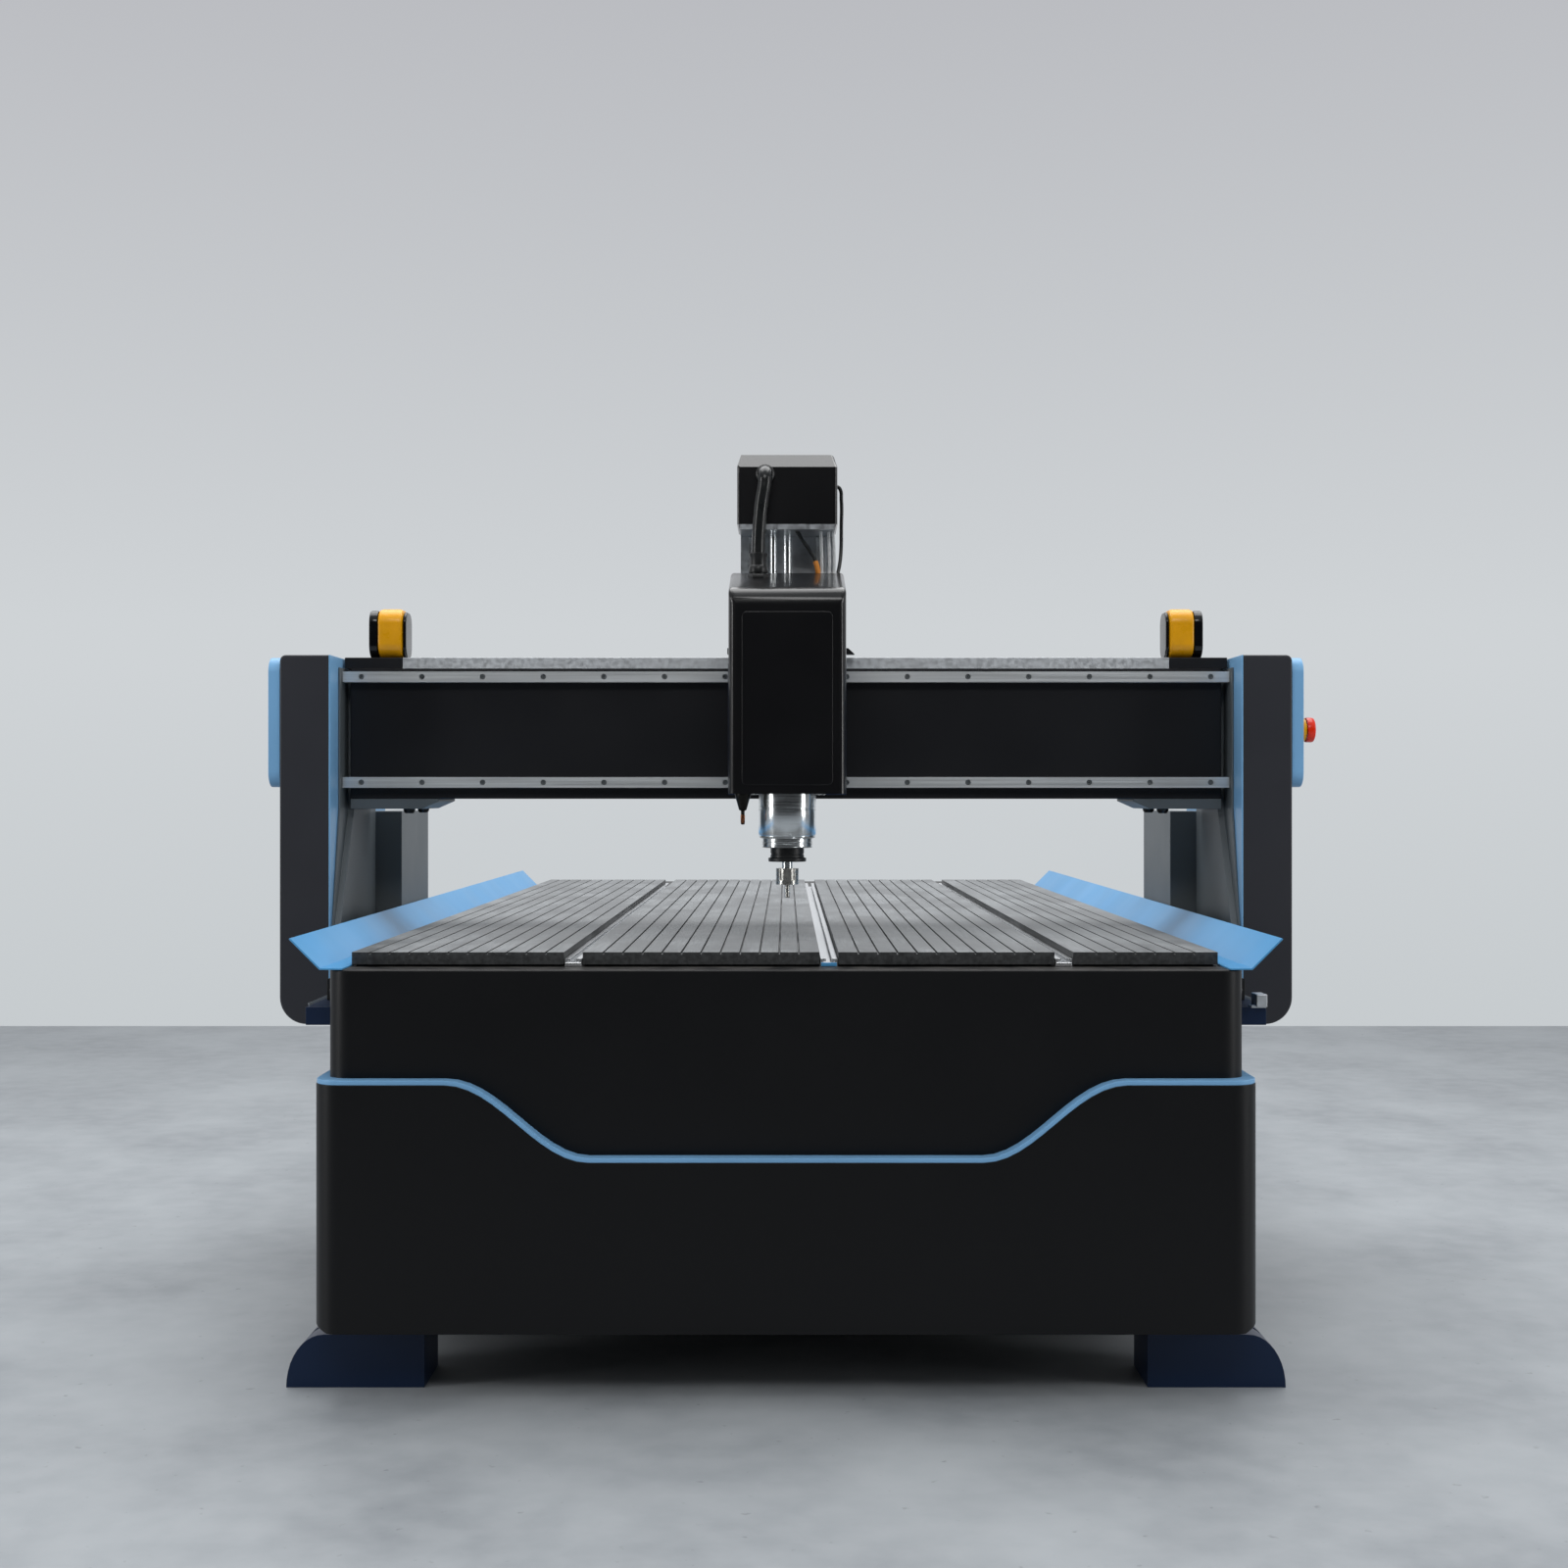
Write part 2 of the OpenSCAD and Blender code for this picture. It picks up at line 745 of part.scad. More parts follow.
module estop_button() {
  color("#d8340f") translate([0, estop_y, estop_z]) rotate([0, 90, 0]) {
    translate([0, 0, pad_out - 11]) cylinder(r = 8, h = 30);
    translate([0, 0, pad_out + 16]) rotate_extrude()
      polygon([[0, 0], [20, 0], [24, 4], [24, 12], [22, 16], [17, 18.5], [0, 20]]);
  }
}

// ---------- carriage on the beam ----------
module x_carriage_plate() {
  color("#17304f") translate([head_x, 0, 0]) difference() {
    union() {
      span([-carriage_half, carriage_half], carriage_ys, [carriage_z, carriage_top]);
      span([-20, 20], [-1030, carriage_ys[0]], [987, 1005]);
    }
    pillar(0, z_screw_y, [980, 1010], screw_d / 2 + fit_gap);
  }
}

module x_bearing_blocks() {
  color("#7b8184") translate([head_x, 0, 0]) for (z = x_rail_zs, x = [-62, 62]) difference() {
    span([x - 42, x + 42], [carriage_ys[1], -951], [z - 24, z + 24]);
    span([x - 43, x + 43], [rail_front - run_gap, -950],
         [z - x_rail_h / 2 - run_gap, z + x_rail_h / 2 + run_gap]);
  }
}

module x_carriage_arm() {
  arm_half = 60;
  flange_rear = -952;
  color("#1a1b1e") translate([head_x, 0, 0]) difference() {
    union() {
      span([-arm_half, arm_half], [carriage_ys[1], -971], [carriage_top + 2, 1274]);
      span([-arm_half, arm_half], [carriage_ys[1], -715], [1262, 1274]);
      along_y([carriage_ys[1], flange_rear])
        polygon([[-118, 1262], [133, 1262], [120, 1274], [-118, 1274]]);
    }
    pillar(0, x_pinion_y, [1260, 1280], 12);
  }
}

module x_motor() {
  half = 31;
  color("#26282b") translate([head_x, x_pinion_y, 0]) difference() {
    union() {
      span([-half, half], [-half, half], [1274, 1314]);
      span([1 - half, half - 1], [1 - half, half - 1], [1314, 1394]);
    }
    pillar(0, 0, [1273, 1297], pinion_shaft_r + fit_gap);
  }
}

module x_pinion() {
  color("#9aa0a3") pinion(head_x, x_pinion_y, [beam_top + 2, beam_top + 20], 1294);
}

module z_column_plate() {
  color("#b9bdc1") translate([head_x, 0, 0]) difference() {
    union() {
      span([-z_plate_half, z_plate_half], carriage_ys, [carriage_top, motor_plate_z]);
      span([-z_plate_half, z_plate_half], [z_box_front, z_box_rear], [motor_plate_z, z_box_z]);
    }
    pillar(0, z_screw_y, [motor_plate_z - 1, z_box_z + 1], screw_d / 2 + fit_gap);
  }
}

module z_rails() {
  color("#c5cbce") translate([head_x, 0, 0]) for (x = [-z_rail_x, z_rail_x])
    span([x - 10, x + 10], [-1020.5, carriage_ys[0]], [carriage_z, motor_plate_z - 2]);
}

module z_motor_box_outer(inset) {
  side = z_box_half - inset;
  top = z_box_top - inset;
  bevel = 27;
  side_bevel = 7;
  intersection() {
    along_x([-side, side])
      polygon([[z_box_front + inset, z_box_z], [z_box_rear - inset, z_box_z],
               [z_box_rear - inset, top], [z_box_front + bevel, top],
               [z_box_front + inset, top - bevel + inset]]);
    along_y([z_box_front, z_box_rear])
      polygon([[-side, z_box_z], [side, z_box_z], [side, top - bevel], [side - side_bevel, top],
               [side_bevel - side, top], [-side, top - bevel]]);
  }
}

module z_motor_box() {
  color("#18191e") translate([head_x, 0, 0]) difference() {
    z_motor_box_outer(0);
    translate([0, 0, -1]) z_motor_box_outer(sheet);
  }
}

module z_motor() {
  half = 35;
  color("#2b2d30") translate([head_x, z_screw_y, 0])
    span([-half, half], [-half, half], [z_box_z, z_box_z + 105]);
}

module z_ball_screw() {
  color("#c9cdd0") pillar(head_x, z_screw_y, [988, z_box_z - 1], screw_d / 2);
}

// ---------- vertical head ----------
module z_slide_plate() {
  color("#8d9296") translate([head_x, 0, 0])
    span([-slide_half, slide_half], slide_ys, [1000, 1400]);
}

module z_bearing_blocks() {
  color("#7b8184") translate([head_x, 0, 0]) for (z = [1100, 1340], x = [-z_rail_x, z_rail_x])
    difference() {
      span([x - 22, x + 22], [slide_ys[1], -1008], [z - 36, z + 36]);
      span([x - 10 - run_gap, x + 10 + run_gap], [-1020.5 - run_gap, -1000], [z - 37, z + 37]);
    }
}

module z_ball_nut() {
  color("#9a9fa2") translate([head_x, 0, 0]) difference() {
    span([-16, 16], [slide_ys[1], -1006], [1200, 1245]);
    pillar(0, z_screw_y, [1199, 1246], screw_d / 2 + fit_gap);
  }
}

// Side view of the head cover: upright front, rounded shoulder and sloping top
module head_side(inset, rear) {
  r = 36;
  steps = 8;
  shoulder_z = 1333;
  slope = 15.5;
  polygon(concat([[rear, cover_z - inset], [cover_front + inset, cover_z - inset]],
                 [for (i = [0 : steps])
                    let (a = (90 - slope) * i / steps)
                    [cover_front + r - (r - inset) * cos(a), shoulder_z + (r - inset) * sin(a)]],
                 [[-1110, cover_top - inset], [rear, cover_top - inset]]));
}

module head_plan(inset) {
  r = 16;
  half = head_w / 2;
  translate([-half + inset, cover_front + r]) square([2 * half - 2 * inset, 300]);
  translate([-half + r, cover_front + inset]) square([2 * half - 2 * r, r]);
  for (side = [-1, 1]) translate([side * (half - r), cover_front + r]) circle(r - inset);
}

module head_cover() {
  color("#1b1a1e") translate([head_x, 0, 0]) difference() {
    intersection() {
      along_x([-head_w, head_w]) head_side(0, cover_rear);
      along_z([cover_z, cover_top]) head_plan(0);
    }
    intersection() {
      along_x([-head_w, head_w]) head_side(sheet, cover_rear + 1);
      along_z([cover_z - 1, cover_top]) head_plan(sheet);
    }
  }
}

module spindle_body() {
  r = spindle_d / 2;
  color("#dfe4e4") difference() {
    union() {
      pillar(head_x, spindle_y, [904, 1230], r);
      pillar(head_x, spindle_y, [886, 904], r - 6);
      pillar(head_x, spindle_y, [867, 886], 31.5);
      pillar(head_x, spindle_y, [860, 867], 35.5);
    }
    pillar(head_x, spindle_y, [859, 905], rotor_r + fit_gap);
  }
}

module spindle_clamp() {
  color("#3a3d40") difference() {
    span([head_x - 72, head_x + 72], [-1232, slide_ys[0]], [1040, 1200]);
    pillar(head_x, spindle_y, [1039, 1201], spindle_d / 2);
  }
}

module air_nozzle() {
  x = head_x - 83;
  y = -1200;
  color("#2c2b29") {
    span([x - 12, x + 12], [y - 12, slide_ys[0]], [1000, 1010]);
    translate([x, y, 0]) rotate_extrude()
      polygon([[0, 930], [3.5, 930], [3.5, 955], [7, 957], [15, 985], [15, 1000], [0, 1000]]);
  }
}

// ---------- hoses between the head and the motor box ----------
// Rings of a round tube about a route, each turned square to the route
function route_dir(p, i) =
  let (a = p[max(0, i - 1)], b = p[min(len(p) - 1, i + 1)], d = b - a) d / norm(d);
function ring_axes(d) =
  let (side = abs(d[0]) < 0.9 ? [1, 0, 0] : [0, 1, 0], u = cross(d, side), n = u / norm(u))
  [n, cross(d, n)];
function tube_points(p, r, sides) =
  [for (i = [0 : len(p) - 1])
     let (ax = ring_axes(route_dir(p, i)))
     for (k = [0 : sides - 1])
       p[i] + r * (cos(360 * k / sides) * ax[0] + sin(360 * k / sides) * ax[1])];
function tube_faces(count, sides) =
  concat([[for (k = [0 : sides - 1]) k]],
         [for (i = [0 : count - 2])
            for (k = [0 : sides - 1])
              let (n = (k + 1) % sides)
              [i * sides + k, (i + 1) * sides + k, (i + 1) * sides + n, i * sides + n]],
         [[for (k = [sides - 1 : -1 : 0]) (count - 1) * sides + k]]);

module sweep_tube(route, r, sides) {
  polyhedron(tube_points(route, r, sides), tube_faces(len(route), sides));
}

conduit_route = [[-55, -1150, 1404], [-55, -1150, 1440], [-53, -1151, 1490], [-48, -1153, 1540],
                 [-43, -1155, 1570], [-42, -1152, 1588], [-42, -1140, 1595], [-42, -1121, 1595]];
cable_route = [[60, -1095, 1412], [54, -1090, 1430], [44, -1088, 1450], [30, -1088, 1470],
               [18, -1088, 1488]];
air_route = [[80, -1090, 1412], [82, -1086, 1440], [82, -1086, 1465], [80, -1086, 1488]];

module head_lines() {
  color("#1c1f20") translate([head_x, 0, 0]) {
    sweep_tube(conduit_route, 13, 12);
    sweep_tube(cable_route, 4, 8);
    sweep_tube(air_route, 4, 8);
  }
}

// ---------- rotor ----------
module spindle_shaft() {
  color("#9ca1a4") pillar(head_x, spindle_y, [847, 900], rotor_r);
}

module collet_and_cutter() {
  nut_z = 817;
  nut_top = 847;
  color("#676864") {
    difference() {
      pillar(head_x, spindle_y, [nut_z, nut_top], 21.5);
      for (a = [0 : 60 : 300])
        translate([head_x, spindle_y, nut_z + 8]) rotate([0, 0, a])
          translate([19.5, -3, 0]) cube([5, 6, 30]);
    }
    pillar(head_x, spindle_y, [nut_z - tool_len, nut_z], tool_d / 2);
  }
}

bed_side_beams();
bed_cross_members();
bed_legs();
bed_feet();
front_upper_cover();
front_lower_cover();
cover_trim();
side_panels();
rear_cover();
cable_gland();
control_cabinet();
rail_ledges();
y_rails();
y_racks();
y_end_stops();
chip_guards();
table_underlay();
table_boards();
t_tracks();
gantry_beam();
seat_plates();
leg_plates();
x_rails();
x_rail_screws();
x_rack();
beam_top_strip();
column_covers();
column_inner_panels();
side_pads();
motor_covers();
y_foot_plates();
y_bearing_blocks();
y_motors();
y_pinion_left();
y_pinion_right();
sensor_brackets();
sensor_housings();
sensor_lenses();
estop_collar();
estop_button();
x_carriage_plate();
x_bearing_blocks();
x_carriage_arm();
x_motor();
x_pinion();
z_column_plate();
z_rails();
z_motor_box();
z_motor();
z_ball_screw();
z_slide_plate();
z_bearing_blocks();
z_ball_nut();
head_cover();
spindle_body();
spindle_clamp();
air_nozzle();
head_lines();
spindle_shaft();
collet_and_cutter();
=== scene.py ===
"""Finish for a gantry CNC router: covers, table, spindle head, hoses, fasteners and materials."""

import json
import math

import bmesh
import bpy
from mathutils import Matrix, Vector


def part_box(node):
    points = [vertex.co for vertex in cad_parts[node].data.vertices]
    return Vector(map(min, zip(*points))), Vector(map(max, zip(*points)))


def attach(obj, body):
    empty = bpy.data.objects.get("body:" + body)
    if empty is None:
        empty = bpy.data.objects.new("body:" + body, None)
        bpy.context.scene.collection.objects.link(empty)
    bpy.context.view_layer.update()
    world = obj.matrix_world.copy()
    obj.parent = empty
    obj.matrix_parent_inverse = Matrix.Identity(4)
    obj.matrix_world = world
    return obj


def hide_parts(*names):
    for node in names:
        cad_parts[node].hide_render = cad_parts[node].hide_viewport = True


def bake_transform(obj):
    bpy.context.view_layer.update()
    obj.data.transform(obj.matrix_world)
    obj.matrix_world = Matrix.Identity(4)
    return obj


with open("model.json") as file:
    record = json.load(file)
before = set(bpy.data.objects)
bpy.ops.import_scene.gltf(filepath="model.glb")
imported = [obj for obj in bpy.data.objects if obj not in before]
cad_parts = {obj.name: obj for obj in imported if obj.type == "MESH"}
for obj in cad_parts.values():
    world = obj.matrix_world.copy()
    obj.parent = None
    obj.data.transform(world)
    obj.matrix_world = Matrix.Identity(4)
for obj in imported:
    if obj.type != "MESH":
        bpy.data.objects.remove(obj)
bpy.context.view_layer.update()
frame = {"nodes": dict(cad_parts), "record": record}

bl_info = {
    "name": "Gantry router finish",
    "version": (1, 0, 0),
    "blender": (4, 5, 0),
    "location": "View3D > Sidebar > Router",
    "description": "Covers, table, spindle head, hoses and materials of a gantry CNC router",
    "category": "Add Mesh",
}

MM = 0.001
MERGE = 0.00002
SHEET_EDGE = 1.2  # mm, on the cut edges of 3 mm sheet
LINE_FOOT = 1410  # mm, given to the short lines as their low height
LINE_TOP = 1485  # mm, given to the short lines as their high height
SMOOTH = math.radians(35)
SHARP = math.radians(40)


# ---------- settings ----------
def linear(code):
    """An sRGB hex colour as the linear colour that shaders take."""
    parts = [int(code[i : i + 2], 16) / 255 for i in (1, 3, 5)]
    lin = [p / 12.92 if p <= 0.04045 else ((p + 0.055) / 1.055) ** 2.4 for p in parts]
    return (*lin, 1.0)


def colour_setting(name, description, code):
    return bpy.props.FloatVectorProperty(
        name=name, description=description, subtype="COLOR", size=4, min=0, max=1, default=linear(code)
    )


def length_setting(name, description, millimetres):
    return bpy.props.FloatProperty(
        name=name, description=description, unit="LENGTH", default=millimetres * MM, min=0
    )


class RouterColours(bpy.types.PropertyGroup):
    """Paint and finish colours of the machine"""

    cover_black: colour_setting("Cover black", "Powder coat on the bed covers", "#060608")
    gantry_black: colour_setting("Gantry black", "Powder coat on the beam", "#15161a")
    head_black: colour_setting("Head black", "Gloss coat on the spindle head", "#09090c")
    leg_grey: colour_setting("Leg grey", "Paint on the leg plates", "#636a6e")
    sky_blue: colour_setting("Sky blue", "Powder coat on the chip guards", "#529bcf")
    # Pad blue is the sky-blue paint made lighter: painted light for the forward faces of the pads, inner
    # panels and trim
    pad_blue_with_painted_light: colour_setting("Pad blue", "Powder coat on side pads and trim", "#7fb3de")
    navy: colour_setting("Navy", "Paint on the feet, ledges and carriage", "#0f2340")
    board_grey: colour_setting("Board grey", "Worn top of the table boards", "#8d9092")
    beacon_yellow: colour_setting("Beacon yellow", "Housings of the safety sensors", "#f2aa0a")
    stop_red: colour_setting("Stop red", "Emergency stop head", "#ee2c02")


class RouterSizes(bpy.types.PropertyGroup):
    """Sizes of the pieces that are added to the frame"""

    conduit_d: length_setting("Conduit", "Outer diameter of the spindle conduit", 26)
    cable_d: length_setting("Cable", "Diameter of the spindle cable", 7.5)
    air_d: length_setting("Air tube", "Diameter of an air tube", 6)
    screw_d: length_setting("Screw head", "Diameter of a socket head", 13)
    edge_r: length_setting("Edge", "Rounding on folded sheet edges", 3)


def colours():
    return bpy.context.scene.router_colours


def sizes():
    return bpy.context.scene.router_sizes


# ---------- materials ----------
def add_node(tree, kind, inputs=None, **settings):
    """Adds one shader node, sets its options, and fills or links its inputs."""
    node = tree.nodes.new(kind)
    for name, value in settings.items():
        setattr(node, name, value)
    for key, value in (inputs or {}).items():
        if isinstance(value, bpy.types.NodeSocket):
            tree.links.new(value, node.inputs[key])
        else:
            node.inputs[key].default_value = value
    return node


def new_material(name):
    """An empty material with its node tree, its shader and its Object coordinates."""
    made = bpy.data.materials.new(name)
    made.use_nodes = True
    tree = made.node_tree
    shader = tree.nodes["Principled BSDF"]
    place = add_node(tree, "ShaderNodeTexCoord").outputs["Object"]
    return made, tree, shader, place


def stretched(tree, place, scale):
    """Object coordinates multiplied by a scale for each axis."""
    return add_node(tree, "ShaderNodeMapping", {"Vector": place, "Scale": scale}).outputs["Vector"]


def noise(tree, place, size_mm, detail=2.0):
    """Noise whose spots are about size_mm wide."""
    settings = {"Vector": place, "Scale": 1000.0 / size_mm, "Detail": detail}
    return add_node(tree, "ShaderNodeTexNoise", settings).outputs["Fac"]


def spread(tree, factor, low, high, start=0.35, end=0.65):
    """Maps the middle of a noise to a range of values."""
    settings = {"Value": factor, "From Min": start, "From Max": end, "To Min": low, "To Max": high}
    return add_node(tree, "ShaderNodeMapRange", settings).outputs["Result"]


def mixed(tree, factor, first, second):
    settings = {"Factor": factor, "A": first, "B": second}
    node = add_node(tree, "ShaderNodeMix", data_type="RGBA")
    for key, value in settings.items():
        index = {"Factor": 0, "A": 6, "B": 7}[key]
        if isinstance(value, bpy.types.NodeSocket):
            tree.links.new(value, node.inputs[index])
        else:
            node.inputs[index].default_value = value
    return node.outputs[2]


def scaled(colour, amount):
    return (*[min(1.0, c * amount) for c in colour[:3]], 1.0)


def bump(tree, shader, height, distance_mm, strength=0.4):
    settings = {"Height": height, "Distance": distance_mm * MM, "Strength": strength}
    node = add_node(tree, "ShaderNodeBump", settings)
    tree.links.new(node.outputs["Normal"], shader.inputs["Normal"])


def upward(tree):
    """1 on faces that look up, where dust settles, and 0 elsewhere."""
    normal = add_node(tree, "ShaderNodeNewGeometry").outputs["Normal"]
    height = add_node(tree, "ShaderNodeSeparateXYZ", {"Vector": normal}).outputs["Z"]
    return spread(tree, height, 0.0, 1.0, 0.6, 1.0)


def powder_coat(name, colour, rough=0.42, dust=0.05):
    """Powder-coated steel sheet: baked polyester with a fine orange peel and a little dust on top."""
    made, tree, shader, place = new_material(name)
    shader.inputs["Specular IOR Level"].default_value = 0.3
    tone = spread(tree, noise(tree, place, 320), 0.0, 1.0)
    coat = mixed(tree, tone, scaled(colour, 0.95), scaled(colour, 1.06))
    specks = spread(tree, noise(tree, place, 45, 5.0), 0.0, 2 * dust)
    settled = add_node(tree, "ShaderNodeMath", {0: specks, 1: upward(tree)}, operation="MULTIPLY")
    dusty = mixed(tree, settled.outputs["Value"], coat, linear("#8b8782"))
    tree.links.new(dusty, shader.inputs["Base Color"])
    tree.links.new(
        spread(tree, noise(tree, place, 180, 2.0), rough - 0.02, rough + 0.03), shader.inputs["Roughness"]
    )
    # Orange peel is about 1.5 mm across and is drawn at 4 mm so that it shows
    bump(tree, shader, noise(tree, place, 4, 1.0), 0.05, 0.15)
    return made


def lacquered(name, colour, rough):
    """Powder coat under clear lacquer: a second, sharper highlight over the soft one."""
    made = powder_coat(name, colour, rough, 0.02)
    shader = made.node_tree.nodes["Principled BSDF"]
    shader.inputs["Coat Weight"].default_value = 0.6
    shader.inputs["Coat Roughness"].default_value = 0.12
    return made


def ground_steel(name, colour, along, rough=0.28):
    """Ground rail steel: bare metal with fine lines along the direction of travel."""
    made, tree, shader, place = new_material(name)
    shader.inputs["Metallic"].default_value = 1.0
    # Grinding lines are under 0.1 mm and are drawn at 3 mm so that they show
    scale = [0.01 if axis == along else 1.0 for axis in "XYZ"]
    lines = noise(tree, stretched(tree, place, scale), 3.0, 2.0)
    shade = mixed(tree, spread(tree, lines, 0.0, 1.0), scaled(colour, 0.94), scaled(colour, 1.04))
    stain = spread(tree, noise(tree, place, 140, 3.0), 0.0, 0.2)
    tree.links.new(mixed(tree, stain, shade, scaled(colour, 0.8)), shader.inputs["Base Color"])
    tree.links.new(spread(tree, lines, rough - 0.03, rough + 0.05), shader.inputs["Roughness"])
    bump(tree, shader, lines, 0.01, 0.1)
    return made


def machined_alloy(name, colour, rough=0.36):
    """Milled aluminium plate: bare metal with a satin, faintly mottled face."""
    made, tree, shader, place = new_material(name)
    shader.inputs["Metallic"].default_value = 1.0
    swirl = noise(tree, place, 9, 4.0)
    tree.links.new(
        mixed(tree, spread(tree, swirl, 0.0, 1.0), scaled(colour, 0.9), scaled(colour, 1.05)),
        shader.inputs["Base Color"],
    )
    tree.links.new(spread(tree, swirl, rough - 0.07, rough + 0.1), shader.inputs["Roughness"])
    bump(tree, shader, noise(tree, place, 2.5, 2.0), 0.04, 0.2)
    return made


def turned_steel(name, colour, rough=0.16):
    """Turned and polished spindle steel: rings of fine tool marks round the axis."""
    made, tree, shader, place = new_material(name)
    shader.inputs["Metallic"].default_value = 1.0
    # Tool marks are about 0.2 mm apart and are drawn at 1 mm so that they show
    rings = noise(tree, stretched(tree, place, (0.02, 0.02, 1.0)), 1.0, 2.0)
    shade = mixed(tree, spread(tree, rings, 0.0, 1.0), scaled(colour, 0.93), colour)
    tree.links.new(shade, shader.inputs["Base Color"])
    tree.links.new(spread(tree, rings, rough - 0.04, rough + 0.08), shader.inputs["Roughness"])
    bump(tree, shader, rings, 0.005, 0.04)
    return made


def blackened_steel(name, colour, rough=0.38):
    """Oil-blackened steel: dark metal with paler, rubbed high spots."""
    made, tree, shader, place = new_material(name)
    shader.inputs["Metallic"].default_value = 1.0
    rubbed = noise(tree, place, 14, 6.0)
    shade = mixed(tree, spread(tree, rubbed, 0.0, 1.0, 0.45, 0.75), colour, scaled(colour, 1.9))
    tree.links.new(shade, shader.inputs["Base Color"])
    tree.links.new(spread(tree, rubbed, rough + 0.08, rough - 0.1), shader.inputs["Roughness"])
    bump(tree, shader, noise(tree, place, 1.5, 2.0), 0.05, 0.3)
    return made


def moulded_plastic(name, colour, rough=0.35, grain=0.1):
    """Injection-moulded plastic: even colour with a fine spark-eroded grain."""
    made, tree, shader, place = new_material(name)
    tone = spread(tree, noise(tree, place, 60, 3.0), 0.0, 1.0)
    tree.links.new(
        mixed(tree, tone, scaled(colour, 0.92), scaled(colour, 1.06)), shader.inputs["Base Color"]
    )
    tree.links.new(
        spread(tree, noise(tree, place, 25, 3.0), rough - 0.04, rough + 0.06), shader.inputs["Roughness"]
    )
    bump(tree, shader, noise(tree, place, 1.6, 2.0), 0.05, grain)
    return made


def clear_tube(name):
    """Polyurethane air tube: milky, soft and glossy."""
    made, tree, shader, place = new_material(name)
    milky = spread(tree, noise(tree, place, 12, 2.0), 0.0, 1.0)
    tree.links.new(mixed(tree, milky, linear("#d9dcdd"), linear("#f2f3f3")), shader.inputs["Base Color"])
    shader.inputs["Roughness"].default_value = 0.22
    shader.inputs["Transmission Weight"].default_value = 0.35
    shader.inputs["IOR"].default_value = 1.5
    bump(tree, shader, noise(tree, place, 3, 1.0), 0.03, 0.2)
    return made


def worn_board(name, colour):
    """Grey phenolic table board: sawdust-dulled top with scratches along and across, and every face below
    the top painted much darker: painted shade in the grooves, and the same dark colour on the board edges.
    """
    made, tree, shader, place = new_material(name)
    normal = add_node(tree, "ShaderNodeNewGeometry").outputs["Normal"]
    facing = add_node(tree, "ShaderNodeSeparateXYZ", {"Vector": normal}).outputs["Z"]
    level = add_node(tree, "ShaderNodeSeparateXYZ", {"Vector": place}).outputs["Z"]
    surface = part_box("table_boards")[1].z
    above = spread(tree, level, 0.0, 1.0, surface - 2.5 * MM, surface - 0.6 * MM)
    flat = spread(tree, facing, 0.0, 1.0, 0.3, 0.6)
    top = add_node(tree, "ShaderNodeMath", {0: flat, 1: above}, operation="MULTIPLY").outputs["Value"]
    patches = noise(tree, stretched(tree, place, (1.0, 0.35, 1.0)), 85, 8.0)
    streaks = noise(tree, stretched(tree, place, (1.0, 0.03, 1.0)), 3.5, 3.0)
    scratches = noise(tree, stretched(tree, place, (0.06, 1.0, 1.0)), 4.0, 4.0)
    chips = noise(tree, place, 7, 5.0)
    tone = mixed(
        tree, spread(tree, patches, 0.0, 1.0, 0.38, 0.62), scaled(colour, 0.42), scaled(colour, 1.02)
    )
    tone = mixed(tree, spread(tree, streaks, 0.0, 0.55, 0.4, 0.7), tone, scaled(colour, 0.5))
    tone = mixed(tree, spread(tree, scratches, 0.0, 0.7, 0.6, 0.75), tone, scaled(colour, 1.75))
    tone = mixed(tree, spread(tree, chips, 0.0, 0.8, 0.64, 0.72), tone, scaled(colour, 0.22))
    # Painted shade: the groove walls, groove floors and board edges, all below the top, get a much darker
    # colour
    groove_shade_and_edges = mixed(tree, spread(tree, chips, 0.0, 1.0), scaled(colour, 0.12), scaled(colour, 0.24))
    tree.links.new(mixed(tree, top, groove_shade_and_edges, tone), shader.inputs["Base Color"])
    tree.links.new(spread(tree, patches, 0.34, 0.52), shader.inputs["Roughness"])
    bump(tree, shader, chips, 0.3, 0.4)
    return made


def extruded_alloy(name, colour):
    """Satin anodised extrusion: pale, chalky metal with die lines along its length."""
    made, tree, shader, place = new_material(name)
    shader.inputs["Metallic"].default_value = 0.85
    # Die lines are under 0.2 mm and are drawn at 2 mm so that they show
    lines = noise(tree, stretched(tree, place, (1.0, 0.004, 1.0)), 2.0, 2.0)
    tree.links.new(
        mixed(tree, spread(tree, lines, 0.0, 1.0), scaled(colour, 0.9), colour), shader.inputs["Base Color"]
    )
    tree.links.new(spread(tree, lines, 0.12, 0.2), shader.inputs["Roughness"])
    return made


def soft_rubber(name, colour):
    """Moulded nitrile rubber: dull black with a bloom of dust."""
    return moulded_plastic(name, colour, 0.75, 0.3)


